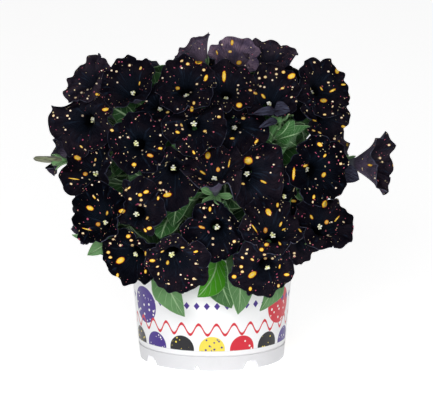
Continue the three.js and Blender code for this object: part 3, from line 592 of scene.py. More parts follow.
def shapeBloom(template, bloom, rowCount):
    piece = copyOf(template, "petals_%02d" % bloom["number"])
    across, along = gridShares(piece)
    tubeRows = len(blossom["tube"])
    row = np.rint(along * rowCount).astype(int)
    angle = (1 - across) * 2 * math.pi
    tubePart = row < tubeRows
    t = np.clip((row - tubeRows) / (rowCount - tubeRows), 0, 1) ** 0.92
    rho, height = facePoints(bloom, angle, t)
    profile = np.array(blossom["tube"])
    foot, top = profile[0, 1], profile[-1, 1]
    squeeze = (foot - top + blossom["throatDepth"] * (bloom["deep"] - 1)) / (foot - top)
    profile[:, 1] = foot + (profile[:, 1] - foot) * squeeze
    profile *= bloom["scale"]
    rho = np.where(tubePart, profile[np.minimum(row, tubeRows - 1), 0], rho)
    height = np.where(tubePart, profile[np.minimum(row, tubeRows - 1), 1], height)
    lean = np.where(tubePart, 1 - np.clip(row / (tubeRows - 1), 0, 1) ** 1.5, t)
    free = placeRound(bloom, angle, rho, height, lean)
    # the limb bends fully, the throat follows it in part and the tube's end stays
    columns = blossom["segments"][bloom["grade"]]
    column = np.rint(across * columns).astype(int)
    field = np.zeros((rowCount + 1, columns, 3))
    spare = blossom["spare"][bloom["grade"]]
    full = tuck(free, bloom["rank"], bloom["layer"], spare) - free
    flareRho, flareHeight = facePoints(bloom, angle, np.full_like(t, blossom["flareAt"]))
    flare = placeRound(bloom, angle, flareRho, flareHeight, blossom["flareAt"])
    flareShift = tuck(flare, bloom["rank"], bloom["layer"], spare) - flare
    throat = blossom["throatShare"] * flareShift
    share = np.clip(t / blossom["flareAt"], 0, 1)[:, None]
    shift = np.where(share < 1, throat * (1 - share) + flareShift * share, full)
    fade = np.clip(row / tubeRows, 0, 1)[:, None]
    shift = np.where(tubePart[:, None], throat * fade, shift)
    keep = column < columns
    field[row[keep], column[keep]] = shift[keep]
    field = softened(field, blossom["softening"][bloom["grade"]])
    points = free + field[row, column % columns]
    movePoints(piece, points * mm)
    corners = cornerPoints(piece)
    spread = np.where(tubePart, 0, t * bloom["radius"])
    disc = np.stack([spread * np.cos(angle), spread * np.sin(angle)], -1)
    fillMap(piece, "petal", disc[corners] / 10 + np.array([bloom["index"] * 7.3, 0]))
    turns = angle / (2 * math.pi) * 0.999 + bloom["index"]
    outwards = np.where(tubePart, -0.05 * (tubeRows - row), t)
    fillMap(piece, "polar", np.stack([turns, outwards], -1)[corners])
    drawMarks(piece, bloom, plane(points) if bloom["front"] else disc)
    fillValue(piece, "pale", bloom["pale"])
    mergeSeams(piece)
    giveMaterials(piece, *bloomMaterials)
    finishWith(piece, "SOLIDIFY", thickness=blossom["skin"] * mm, offset=-1, material_offset=1,
               material_offset_rim=2)
    return piece


# petal materials
# slate is also a painted sheen, vein serves for the veins and for painted highlight streaks, and edge is a
# painted highlight along the petals' edges
petals = {"dark": "#03040a", "wine": "#08050a", "slate": "#0b1119", "vein": "#232f40", "edge": "#434659",
          "mauve": "#51465c", "mauvePale": "#8a7589", "backDark": "#2e2b3b", "backVein": "#211b28",
          "cream": "#fbf0d2", "yellow": "#fcd02c", "orange": "#f2a52c", "rim": "#8a1626",
          "dotPink": "#f3a184", "dotMagenta": "#c8557c", "dotOrange": "#f0a03c", "dotCream": "#f8e2b0"}
# layers of fine dots: scale, largest radius, share of the cells, seed
dotLayers = [(3.6, 0.040, 0.5, 5.0), (2.5, 0.060, 0.62, 3.0), (1.5, 0.082, 0.6, 11.0)]
dotStops = [(0, petals["dotMagenta"]), (0.2, petals["dotPink"]), (0.5, petals["dotOrange"]),
            (0.9, petals["dotCream"])]
# number and waviness of the veins, scales of the noises, distance and strength of the bumps
petalLook = {"fineVeins": (60, 3.0), "coarseVeins": (10, 0.7), "backVeins": (34, 4.0), "cloud": 0.55,
             "backCloud": 0.8, "grain": 16.0, "crumple": 2.3, "bump": (0.0016, 0.8),
             "backBump": (0.0010, 0.7)}


def markedColour(colour):
    # the marks and the fine dots, over a petal's own colour
    local = mapOf("mark")
    ragged = noiseOf(mapOf("petal"), 6.0, 2.0)
    length = plus(vectorMaths("LENGTH", local), times(minus(ragged, 0.5), 0.35))
    warmth = valueOf("warmth")
    stops = [(0, petals["cream"]), (0.45, petals["yellow"]), (1, petals["orange"])]
    inside = colourRamp(maths("DIVIDE", warmth, 2.0), stops)
    inside = mixColours(between(length, 0.1, 0.9), mixColours(0.3, inside, petals["cream"]), inside)
    rimmed = mixColours(between(length, 0.9, 1.08), inside, petals["rim"])
    colour = mixColours(between(length, 1.25, 1.08), colour, rimmed)
    place = mapOf("petal")
    outward = axesOf(mapOf("polar"))[1]
    for scale, biggest, share, seed in dotLayers:
        shifted = vectorMaths("ADD", place, (seed, seed * 1.7, 0))
        cells = addNode("ShaderNodeTexVoronoi", {"Vector": shifted, "Scale": scale, "Randomness": 1.0})
        split = addNode("ShaderNodeSeparateColor", {0: cells.outputs["Color"]})
        size = times(maths("GREATER_THAN", split.outputs[0], 1 - share),
                     maths("MULTIPLY_ADD", split.outputs[1], biggest * 0.4, biggest * 0.6))
        radius = times(size, scale)
        distance = maths("DIVIDE", cells.outputs["Distance"], maths("MAXIMUM", radius, 0.001))
        dot = times(between(distance, 1.15, 0.8), between(outward, 0.06, 0.12))
        colour = mixColours(dot, colour, colourRamp(split.outputs[2], dotStops))
    return colour


def veinsOf(count, waviness):
    # thin lines that run from the throat outwards
    polar = axesOf(mapOf("polar"))
    bend = times(minus(noiseOf(mapOf("petal"), 1.6, 2.0), 0.5), waviness)
    turn = times(plus(times(polar[0], float(count)), bend), math.pi)
    return absolute(maths("SINE", turn)), polar[1]


def makePetalFace():
    material = newMaterial("petalFace", **{"Roughness": 0.66, "Specular IOR Level": 0.011})
    place, pale = mapOf("petal"), valueOf("pale")
    cloud = noiseOf(place, petalLook["cloud"], 2.0)
    colour = mixColours(between(cloud, 0.48, 0.78), petals["dark"], petals["wine"])
    fine, t = veinsOf(*petalLook["fineVeins"])
    coarse, _ = veinsOf(*petalLook["coarseVeins"])
    mauve = mixColours(between(noiseOf(place, 1.1, 3.0), 0.35, 0.7), petals["mauve"], petals["mauvePale"])
    mauve = mixColours(times(between(fine, 0.4, 0.0), 0.6), mauve, petals["backVein"])
    colour = mixColours(pale, colour, mauve)
    # bluish veins by the throat under a painted sheen, and a painted sheen that comes and goes over the limb
    nearThroat = between(t, 0.62, 0.1)
    streak = times(between(fine, 0.5, 0.1), nearThroat)
    paintedSheen = times(between(noiseOf(place, 0.9, 2.0), 0.5, 0.68), between(fine, 0.8, 0.1))
    colour = mixColours(times(maths("MAXIMUM", nearThroat, paintedSheen), 0.6), colour, petals["slate"])
    colour = mixColours(times(streak, 0.55), colour, petals["vein"])
    polar = axesOf(mapOf("polar"))
    # painted highlights: fine bluish streaks drawn out along the radius, standing in for light along the
    # folds
    stretched = addNode("ShaderNodeCombineXYZ", {0: times(polar[0], 34.0), 1: times(t, 1.6)}).outputs[0]
    highlightStreaks = times(between(noiseOf(stretched, 1.0, 3.0), 0.55, 0.76), between(t, 1.0, 0.7))
    colour = mixColours(times(highlightStreaks, 0.8), colour, petals["vein"])
    # the coarse veins' lines lighter: a painted highlight along the ridges
    ridgeHighlight = between(coarse, 0.12, 0.0)
    colour = mixColours(times(ridgeHighlight, 0.35), colour, petals["slate"])
    # a thin painted highlight along the petal's edge, broken by noise
    edgeHighlight = times(between(t, 0.972, 1.0), between(noiseOf(place, 1.6), 0.35, 0.6))
    colour = mixColours(times(edgeHighlight, 0.6), colour, petals["edge"])
    deep = between(t, 0.02, -0.12)
    colour = mixColours(deep, colour, "#06070b")
    feed("Base Color", markedColour(colour))
    grain = noiseOf(place, petalLook["grain"], 4.0)
    crumple = noiseOf(place, petalLook["crumple"], 3.0, 0.6, 0.6)
    height = plus(crumple, plus(times(fine, 0.12), times(grain, 0.1)))
    height = plus(height, times(between(coarse, 0.3, 0.0), 0.25))
    feed("Normal", bumpOf(height, *petalLook["bump"]))
    feed("Roughness", addNode("ShaderNodeMapRange", {0: grain, 3: 0.55, 4: 0.75}).outputs[0])
    return material


def makePetalBack():
    material = newMaterial("petalBack", **{"Roughness": 0.62, "Specular IOR Level": 0.12,
                                           "Sheen Weight": 0.08, "Sheen Roughness": 0.5,
                                           "Sheen Tint": linear("#9aa0b8")})
    place, pale = mapOf("petal"), valueOf("pale")
    cloud = noiseOf(place, petalLook["backCloud"], 3.0)
    colour = mixColours(between(cloud, 0.35, 0.7), petals["backDark"], petals["mauve"])
    fine, t = veinsOf(*petalLook["backVeins"])
    colour = mixColours(pale, colour, mixColours(cloud, petals["mauve"], petals["mauvePale"]))
    colour = mixColours(times(between(fine, 0.35, 0.0), 0.6), colour, petals["backVein"])
    colour = mixColours(times(between(t, 0.1, -0.1), 0.7), colour, "#5c6168")
    feed("Base Color", markedColour(colour))
    height = plus(times(fine, 0.5), noiseOf(place, 3.0, 4.0))
    feed("Normal", bumpOf(height, *petalLook["backBump"]))
    return material


def makePetalRim():
    material = newMaterial("petalRimHighlight", **{"Roughness": 0.6, "Specular IOR Level": 0.25})
    # the cut edges of the petals: a painted highlight, broken by darker stretches
    colour = mixColours(between(noiseOf(mapOf("petal"), 3.0), 0.4, 0.65), petals["edge"], "#23232e")
    feed("Base Color", colour)
    return material


def makePollen():
    material = newMaterial("pollen", **{"Roughness": 0.75, "Specular IOR Level": 0.2})
    place = objectPlace()
    colour = mixColours(between(noiseOf(place, 420.0, 2.0), 0.4, 0.62), "#fffffa", "#eef0a4")
    feed("Base Color", colour)
    feed("Normal", bumpOf(noiseOf(place, 1800.0, 3.0), 0.0003))
    return material


petalFace, petalBack, petalRimHighlight, pollen = makePetalFace(), makePetalBack(), makePetalRim(), makePollen()
bloomMaterials = (petalFace, petalBack, petalRimHighlight, pollen)


def makeAnthers(bloom, grain):
    # a ring of grains with one in the middle
    s, index, made = bloom["scale"], bloom["index"], []
    level = anther["height"] if bloom["number"] in eyes or not bloom["front"] else anther["deep"]
    for k in range(anther["count"] + 1):
        angle = np.array(2 * math.pi * (k / anther["count"] + wave(index, 90)))
        ring = anther["ring"] * s * (0.75 + 0.5 * wave(k, index)) if k < anther["count"] else 0.0
        height = (level + 1.8 * (wave(k + 9, index) - 0.5)) * s
        middle = placeRound(bloom, angle, np.array(ring), np.array(height), 0.0)
        piece = copyOf(grain, "grain")
        shape = readPoints(piece) * anther["size"] * s * np.array(anther["shape"])
        turned = shape @ np.stack([bloom["side"], bloom["up"], bloom["axis"]])
        movePoints(piece, (middle + turned + bloom["throatShift"]) * mm)
        made.append(piece)
    return made


def makeBlooms():
    rowCounts = [rows + len(blossom["tube"]) for rows in blossom["rows"]]
    templates = [newGrid("petalTemplate", *size) for size in zip(blossom["segments"], rowCounts)]
    grain = addMesh(bpy.ops.mesh.primitive_ico_sphere_add, "grainTemplate", subdivisions=2, radius=1)
    around = np.linspace(0, 2 * math.pi, 12, endpoint=False)
    for bloom in blooms:
        piece = shapeBloom(templates[bloom["grade"]], bloom, rowCounts[bloom["grade"]])
        flare = placeRound(bloom, around, *facePoints(bloom, around, np.full(12, blossom["flareAt"])))
        shift = (tuck(flare, bloom["rank"], bloom["layer"]) - flare).mean(0)
        bloom["throatShift"] = blossom["throatShare"] * shift
        grains = makeAnthers(bloom, grain)
        for small in grains:
            giveMaterials(small, *bloomMaterials)
            setMaterialIndex(small, bloomMaterials.index(pollen))
        piece = joinPieces([piece, *grains], piece.name)
        smooth(piece, 60)
        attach(piece, "root")
        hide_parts("bloom_%02d" % (bloom["index"] + 1))
    for template in (*templates, grain):
        removePiece(template)


makeBlooms()
print("blooms made:", len(blooms))

# pot: one moulded shell, its feet cut afterwards
pot = {"height": 94, "rimRadius": 65, "lipHeight": 5.5, "lipStep": 0.9, "wall": 1.8, "baseRadius": 56,
       "bandHeight": 12, "footHeight": 7, "footWidth": 8, "floor": 2.2, "segments": 144, "feet": 4,
       "firstGap": 33, "gapWidths": (7.5, 16), "cutReach": 14, "notch": (0.8, 6, 4.5),
       "drain": (3.5, 40, 12, 8)}


def wallRadius(z):
    share = (z - pot["bandHeight"]) / (pot["height"] - pot["lipHeight"] - pot["bandHeight"])
    bottom = pot["baseRadius"] + 1
    return bottom + np.maximum(0, share) * (pot["rimRadius"] - pot["lipStep"] - bottom)


def turnedShell(name, profile, segments):
    # a grid rolled round the Z axis; its map holds turns round the axis and the height in cm
    piece = newGrid(name, segments, len(profile) - 1)
    across, along = gridShares(piece)
    row = np.rint(along * (len(profile) - 1)).astype(int)
    ring = np.array(profile, float)[row]
    angle = across * 2 * math.pi
    points = np.stack([np.sin(angle) * ring[:, 0], -np.cos(angle) * ring[:, 0], ring[:, 1]], -1)
    movePoints(piece, points * mm)
    corners = cornerPoints(piece)
    fillMap(piece, "print", np.stack([across, ring[:, 1] / 10], -1)[corners])
    mergeSeams(piece, outward=True)
    return piece


def cutWith(piece, cutter):
    finishWith(piece, "BOOLEAN", object=cutter, operation="DIFFERENCE", solver="EXACT")
    removePiece(cutter)


def wedge(topWidth, bottomWidth, height, inside, reach, turn):
    # a block with slanted sides that stands inside the foot ring and reaches outwards
    piece = addMesh(bpy.ops.mesh.primitive_cube_add, "wedge", size=2)
    corner = readPoints(piece)
    width = np.where(corner[:, 2] > 0, topWidth, bottomWidth) / 2
    x, y = corner[:, 0] * width, -(inside + reach * (corner[:, 1] < 0))
    z = np.where(corner[:, 2] > 0, height, -1)
    c, s = math.cos(math.radians(turn)), math.sin(math.radians(turn))
    movePoints(piece, np.stack([x * c - y * s, x * s + y * c, z], -1) * mm)
    return piece


def makePot():
    # radius and height of the outline, from the middle of the underside round the wall to the floor inside
    top, foot, base, rim, band = (
        pot[key] for key in ("height", "footHeight", "baseRadius", "rimRadius", "bandHeight"))
    lipBottom, floorTop = top - pot["lipHeight"], foot + pot["floor"]
    inner = lambda z: wallRadius(z) - pot["wall"]
    ring = base - pot["footWidth"]
    profile = [(0, foot), (20, foot), (ring - 1, foot), (ring, foot - 0.8), (ring + 1, 0.4), (ring + 1.6, 0),
               (base - 0.8, 0), (base - 0.15, 0.5), (base + 0.75, band - 1.6), (base + 0.95, band - 0.5),
               (base + 0.35, band), (base + 0.45, band + 0.6)]
    profile += [(wallRadius(z) - 0.05, z) for z in np.linspace(band + 1.2, lipBottom, 12)]
    profile += [(rim - 0.5, lipBottom + 0.15), (rim, lipBottom + 0.7), (rim, top - 1.2),
                (rim - 0.35, top - 0.35), (rim - 1.1, top), (rim - 2.1, top - 0.1), (rim - 2.7, top - 0.6),
                (inner(lipBottom) + 0.3, lipBottom - 0.6)]
    profile += [(inner(z), z) for z in np.linspace(lipBottom - 1.6, floorTop + 1, 8)]
    profile += [(inner(floorTop) - 1.2, floorTop), (20, floorTop), (0, floorTop)]
    piece = turnedShell("flowerPot", profile, pot["segments"])
    # gaps between the feet, a notch in each foot and the drain holes
    cut = (ring - 3, pot["cutReach"])
    radius, out, depth, level = pot["drain"]
    for k in range(pot["feet"]):
        turn = pot["firstGap"] + k * 360 / pot["feet"]
        cutWith(piece, wedge(*pot["gapWidths"], foot - 0.4, *cut, turn))
        cutWith(piece, wedge(*pot["notch"], *cut, turn + 180 / pot["feet"]))
        place = heading(turn, 0) * out + up * level
        cutWith(piece, addMesh(bpy.ops.mesh.primitive_cylinder_add, "drain", vertices=32,
                               radius=radius * mm, depth=depth * mm, location=place * mm))
    smooth(piece, 32)
    return piece


# colours (foot being a painted shade on the band at the bottom), then in cm: the printed band, its length, a
# line, a row of lozenges and two rows of discs
prints = {"white": "#f0f0f2", "foot": "#dddde0", "violet": "#3c1c84", "red": "#cf1a30", "yellow": "#ecd84e",
          "black": "#15141a", "pale": "#f4f1ee", "seam": "#a4a8ae", "dust": "#8d8a80", "low": 1.62,
          "high": 8.6, "around": 37.7, "garland": (3.35, 0.42, 27), "lozenges": (5.25, 48),
          "upperDiscs": (6, 4.75, 1.45), "lowerDiscs": (15, 1.75, 1.05)}


def makePotPlastic():
    material = newMaterial("printedPlastic", **{"Roughness": 0.32, "Specular IOR Level": 0.45})
    spot = axesOf(mapOf("print"))
    turns, z = spot[0], spot[1]
    white, red, yellow, violet, black, pale = (
        prints[key] for key in ("white", "red", "yellow", "violet", "black", "pale"))
    around = prints["around"]
    flat = addNode("ShaderNodeCombineXYZ", {0: times(turns, around), 1: z}).outputs[0]

    def row(colour, count, height, radius, inks, dots, dotScale):
        # a row of plain discs, each sprinkled with dots of its own colour
        scaled = plus(times(turns, float(count)), 0.5)
        dx = times(minus(maths("FRACT", scaled), 0.5), around / count)
        pick = maths("FRACT", times(plus(maths("FLOOR", scaled), 0.25), 1 / len(inks)))
        dz = minus(z, height)
        away = maths("SQRT", plus(times(dx, dx), times(dz, dz)))
        steps = [k / len(inks) for k in range(len(inks))]
        ink = colourRamp(pick, list(zip(steps, inks)), "CONSTANT")
        dotInk = colourRamp(pick, list(zip(steps, dots)), "CONSTANT")
        cells = addNode("ShaderNodeTexVoronoi", {"Vector": flat, "Scale": dotScale, "Randomness": 0.8})
        dot = times(between(cells.outputs["Distance"], 0.3, 0.24),
                    between(away, radius - 0.06, radius - 0.12))
        return mixColours(between(away, radius + 0.015, radius - 0.015), colour,
                          mixColours(dot, ink, dotInk))

    colour = row(white, *prints["upperDiscs"], [white, red, yellow, violet, red, violet],
                 [white, pale, violet, pale, yellow, pale], 2.6)
    colour = row(colour, *prints["lowerDiscs"], [yellow, red, black, violet, black],
                 [violet, pale, yellow, pale, yellow], 3.2)
    # a waved line and a row of lozenges
    height, swing, waves = prints["garland"]
    line = times(maths("SINE", times(turns, 2 * math.pi * waves)), swing)
    line = absolute(minus(z, plus(line, height)))
    colour = mixColours(between(line, 0.13, 0.10), colour, red)
    height, count = prints["lozenges"]
    step = times(minus(maths("FRACT", times(turns, float(count))), 0.5), around / count)
    lozenge = plus(times(absolute(step), 1.3), absolute(minus(z, height)))
    colour = mixColours(between(lozenge, 0.32, 0.28), colour, violet)
    inside = times(maths("GREATER_THAN", z, prints["low"]), maths("LESS_THAN", z, prints["high"]))
    outside = axesOf(objectPlace())
    reach = maths("SQRT", plus(maths("POWER", outside[0], 2.0), maths("POWER", outside[1], 2.0)))
    inside = times(inside, maths("GREATER_THAN", reach, maths("MULTIPLY_ADD", z, 0.0009, 0.0553)))
    colour = mixColours(inside, white, colour)
    # the band at the bottom darker: painted shade
    colour = mixColours(between(z, 1.32, 1.18), colour, prints["foot"])
    seam = absolute(minus(z, prints["low"]))
    colour = mixColours(times(between(seam, 0.035, 0.01), 0.35), colour, prints["seam"])
    dust = between(noiseOf(objectPlace(), 60.0, 5.0, 0.6), 0.55, 0.8)
    colour = mixColours(times(dust, 0.06), colour, prints["dust"])
    feed("Base Color", colour)
    grain = noiseOf(objectPlace(), 900.0, 3.0)
    ripple = noiseOf(objectPlace(), 35.0, 2.0)
    feed("Normal", bumpOf(plus(times(ripple, 1.2), times(grain, 0.2)), 0.0003, 0.6))
    feed("Roughness", addNode("ShaderNodeMapRange", {0: ripple, 3: 0.28, 4: 0.42}).outputs[0])
    return material


potPiece = makePot()
giveMaterials(potPiece, makePotPlastic())
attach(potPiece, "root")
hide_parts("pot")
print("pot made")

# stems and leaves
stem = {"count": 6, "radius": 2.1, "tipRadius": 1.3, "soilRing": 20, "twig": 0.8, "perHit": 12,
        "perShare": 8, "leafRise": (-25, 75, 10), "leafStalk": 14}
soilTop = 82
# base, tip, width, tone, which mixes the leaf's own tone with painted light and shade: 0 dark (painted
# shade), 0.35 middle, 0.7 pale (painted light from behind), 1 bright
frontLeaves = [
    ((46, -66, 184), (40, -80, 204), 14, 0.48), ((48, -66, 186), (62, -80, 207), 14, 0.36),
    ((50, -66, 185), (80, -76, 196), 14, 0.32), ((50, -66, 182), (76, -78, 182), 15, 0.26),
    ((48, -68, 181), (57, -84, 176), 13, 0.42), ((44, -60, 176), (34, -86, 182), 22, 0.4),
    ((62, -44, 200), (84, -56, 184), 24, 0.3), ((-20, -70, 176), (-34, -92, 184), 22, 0.6),
    ((0, -66, 178), (14, -92, 190), 20, 0.45), ((-6, -50, 198), (4, -70, 216), 20, 0.3),
    ((-44, -62, 186), (-34, -76, 204), 16, 0.2), ((-50, -72, 158), (-68, -92, 166), 22, 0.15),
    ((-78, -52, 172), (-86, -66, 188), 15, 0.6), ((-30, -70, 128), (-40, -98, 112), 26, 0.32),
    ((-24, -74, 140), (-30, -106, 124), 22, 0.22), ((-14, -60, 140), (-24, -80, 158), 24, 0.15),
    ((12, -58, 140), (22, -78, 134), 22, 0.15), ((30, -76, 142), (40, -100, 112), 24, 0.5),
    ((0, -56, 150), (-22, -78, 148), 22, 0.15), ((33, -66, 136), (42, -92, 131), 17, 0.4),
    ((84, -14, 174), (98, -20, 180), 7, 0.75), ((-108, -14, 156), (-121, -16, 151), 7, 0.8),
    ((-84, -30, 140), (-116, -44, 148), 18, 0.8), ((-80, -30, 112), (-108, -38, 104), 20, 0.65),
    ((-70, -40, 108), (-96, -56, 92), 18, 0.7), ((-35, -62, 98), (-21, -85, 50), 33, 0.66),
    ((4, -64, 99), (-11, -90, 66), 31, 1.0), ((5, -62, 86), (15, -78, 55), 26, 0.45),
    ((17, -64, 98), (20, -86, 52), 27, 0.66), ((51, -55, 96), (37, -83, 54), 25, 0.68),
    ((62, -34, 102), (66, -72, 84), 22, 0.65), ((70, -24, 106), (96, -34, 92), 20, 0.7),
    ((-56, -36, 114), (-98, -48, 128), 30, 0.2), ((-58, -26, 108), (-94, -30, 92), 30, 0.2),
    ((-54, -8, 116), (-98, -8, 130), 30, 0.2), ((-62, -20, 158), (-104, -22, 168), 28, 0.2),
    ((58, -16, 152), (98, -12, 172), 30, 0.2), ((60, -8, 140), (98, 6, 134), 28, 0.2),
    ((56, -26, 124), (92, -20, 124), 28, 0.2), ((-30, 6, 214), (-52, -4, 228), 26, 0.3),
    ((-20, -48, 176), (-50, -62, 192), 34, 0.15),
]
# share of the stem, degrees to the side, length, width
stemLeaves = [(0.2, -36, 52, 28), (0.34, 30, 56, 30), (0.5, -20, 58, 30), (0.72, 26, 50, 26)]
fillers = [(0.26, 8, 44, 26), (0.42, -48, 46, 26), (0.6, 44, 44, 24), (0.66, -6, 46, 26),
           (0.82, -30, 40, 22), (0.92, 12, 36, 22), (0.48, 12, 54, 32), (0.76, -18, 54, 32),
           (0.87, 32, 48, 30), (0.92, -24, 30, 26), (0.34, -16, 50, 30)]
# upright leaves in the heart of the bush: reach, degrees to the side, height of the foot, length, width
heart = [(18, 0, 100, 50, 34), (24, 30, 132, 50, 36), (20, 4, 164, 48, 36), (24, 32, 178, 38, 32),
         (46, 16, 112, 48, 36), (48, -14, 146, 48, 36), (8, 8, 196, 26, 26)]
leaf = {"across": 8, "along": 14, "skin": 0.55, "throatRoom": 6, "rank": 99, "layer": 2,
        "margin": 1.1, "cup": 0.3, "groove": (0.35, 0.16), "quilt": (0.22, 38), "sway": 0.04,
        "tubeRoom": (7.5, 4), "potRoom": 2, "rimRoom": (6, 2.5),
        "outline": [(0, 0.09), (0.06, 0.28), (0.14, 0.64), (0.24, 0.9), (0.34, 0.98), (0.5, 0.96),
                    (0.64, 0.86), (0.76, 0.7), (0.86, 0.48), (0.94, 0.24), (1, 0.02)]}
bud = {"root": (-115, -14, 158), "tip": (-138, -17, 160), "radius": 2.6}
calyx = {"foot": -4.5, "sepals": 5, "length": 11.5, "width": 3.7, "openWidth": 5.6,
         "cup": [(-5, 0.85), (-3.7, 1.25), (-2.2, 2.1), (-0.6, 2.7), (0.8, 2.8), (1.6, 2.5)],
         "openTips": {26: [(-8.5, -95, 153), (-8, -99, 141), (16, -97, 147), (5.5, -100, 141)]},
         "outline": [(0, 0.45), (0.25, 0.5), (0.5, 0.75), (0.72, 1), (0.88, 0.85), (1, 0.12)]}


# a bloom past its best, and a petal that shows from behind: base, tip, width
withered = {"root": (52, -62, 199), "axis": (-0.45, -0.55, 0.5),
            "petals": [((49, -65, 207), (31, -76, 207), 7), ((48, -66, 208), (60, -72, 209), 12),
                       ((50, -66, 200), (36, -78, 197), 6), ((99, -12, 147), (114, -15, 143), 15)]}


def stemPoint(points, t):
    # three.js's centripetal Catmull-Rom curve
    points = [np.array(p, float) for p in points]
    place = (len(points) - 1) * min(max(t, 0), 1)
    k = min(int(place), len(points) - 2)
    weight = place - k
    before = points[k - 1] if k else 2 * points[0] - points[1]
    after = points[k + 2] if k + 2 < len(points) else 2 * points[-1] - points[-2]
    p0, p1, p2, p3 = before, points[k], points[k + 1], after
    d0, d1, d2 = (max(np.linalg.norm(b - a) ** 0.5, 1e-4) for a, b in ((p0, p1), (p1, p2), (p2, p3)))
    t1 = ((p1 - p0) / d0 - (p2 - p0) / (d0 + d1) + (p2 - p1) / d1) * d1
    t2 = ((p2 - p1) / d1 - (p3 - p1) / (d1 + d2) + (p3 - p2) / d2) * d1
    square, cube = -3 * p1 + 3 * p2 - 2 * t1 - t2, 2 * p1 - 2 * p2 + t1 + t2
    return p1 + t1 * weight + square * weight ** 2 + cube * weight ** 3


def bezier(ends, places=np.linspace(0, 1, 9)):
    t = places[:, None]
    a, b, c, d = ends
    return a * (1 - t) ** 3 + 3 * b * t * (1 - t) ** 2 + 3 * c * t * t * (1 - t) + d * t ** 3


def twigEnds(start, end, arrive):
    length = np.linalg.norm(end - start)
    outward = unit(end - np.array([domeCentre[0], 0, start[2]]))
    return start, start + outward * 0.3 * length, end - arrive * 0.35 * length, end


bloomCentres = np.array([b["centre"] for b in blooms])
bloomAxes = np.array([b["axis"] for b in blooms])
bloomRadii = np.array([b["radius"] for b in blooms])
bloomScales = np.array([b["scale"] for b in blooms])


def crossings(ends, own):
    # how often a twig would run through a limb or a tube
    points = bezier(ends, np.arange(2, 11) / 10.5)
    away = points[:, None, :] - bloomCentres[None]
    height = (away * bloomAxes[None]).sum(-1)
    rho = np.sqrt(np.maximum(0, (away ** 2).sum(-1) - height ** 2))
    share = np.clip((rho - 4) / (bloomRadii - 4), 0, 1)
    limb = throatLine(share, bloomScales)
    hits = ((rho < bloomRadii + 2) & (height > limb - 7) & (height < limb + 4)).astype(int)
    hits += (rho < 8) & (height < 0) & (height > -blossom["tubeLength"] * bloomScales - 3)
    if own is not None:
        hits[:, own] = 0
    return hits.sum()


def bestStart(curves, goal, arrive, own, taken):
    best = None
    for curve in curves:
        for k in range(2, 28):
            start = stemPoint(curve, k / 28)
            shared = sum(np.linalg.norm(p - start) < 3 for p in taken)
            hits = crossings(twigEnds(start, goal, arrive), own)
            cost = np.linalg.norm(start - goal) + stem["perHit"] * hits + stem["perShare"] * shared
            if best is None or cost < best[1]:
                best = (start, cost)
    taken.append(best[0])
    return best[0]


def alongPath(template, path, radii, name):
    # a cylinder's rings moved along a path
    piece = copyOf(template, name)
    shape = readPoints(piece)
    level = np.rint((shape[:, 2] + 0.5) * (len(path) - 1)).astype(int)
    path = np.asarray(path, float)
    tangents = np.gradient(path, axis=0)
    tangents /= np.maximum(np.linalg.norm(tangents, axis=1, keepdims=True), 1e-9)
    first = unit(np.cross(tangents[0], [0.3, 0.8, 0.52]))
    firsts = []
    for tangent in tangents:
        first = unit(first - tangent * (first @ tangent))
        firsts.append(first)
    firsts = np.array(firsts)
    seconds = np.cross(tangents, firsts)
    flat = shape[:, :2] * np.asarray(radii, float)[level][:, None]
    movePoints(piece, (path[level] + flat[:, :1] * firsts[level] + flat[:, 1:] * seconds[level]) * mm)
    return piece


def newRod(name, sides, steps):
    # a closed cylinder of radius and height 1 with rings along it
    piece = addMesh(bpy.ops.mesh.primitive_cylinder_add, name, vertices=sides, radius=1, depth=1,
                    end_fill_type="TRIFAN")
    bpy.ops.object.mode_set(mode="EDIT")
    for k in range(1, steps):
        bpy.ops.mesh.select_all(action="SELECT")
        bpy.ops.mesh.bisect(plane_co=(0, 0, k / steps - 0.5), plane_no=(0, 0, 1))
    bpy.ops.object.mode_set(mode="OBJECT")
    return piece


def clearPot(points):
    # keeps a leaf outside the pot's wall and rim
    reach = np.hypot(points[:, 0], points[:, 1])
    below, above = leaf["rimRoom"]
    rim = points[:, 2] > pot["height"] - pot["lipHeight"] - below
    least = np.where(rim, pot["rimRadius"], wallRadius(np.maximum(points[:, 2], 0))) + leaf["potRoom"]
    inside = (points[:, 2] < pot["height"] + above) & (reach < least)
    push = np.where(inside, least / np.maximum(reach, 1), 1)
    return points * np.stack([push, push, np.ones_like(push)], -1)


def clearTubes(points):
    # bends a leaf round the blooms' tubes
    for over in blooms:
        top = over["centre"] + over["eye"] - over["axis"] * 6
        way = over["root"] - top
        share = ((points - top) @ way) / (way @ way)
        nearest = top + np.clip(share, 0, 1)[:, None] * way
        off = points - nearest
        far = np.linalg.norm(off, axis=1)
        wide, less = leaf["tubeRoom"]
        need = (wide - less * np.clip(share, 0, 1)) * over["scale"]
        push = np.where((share > 0.02) & (share < 1) & (far < need), need / np.maximum(far, 0.5), 1)
        points = nearest + off * push[:, None]
    return points


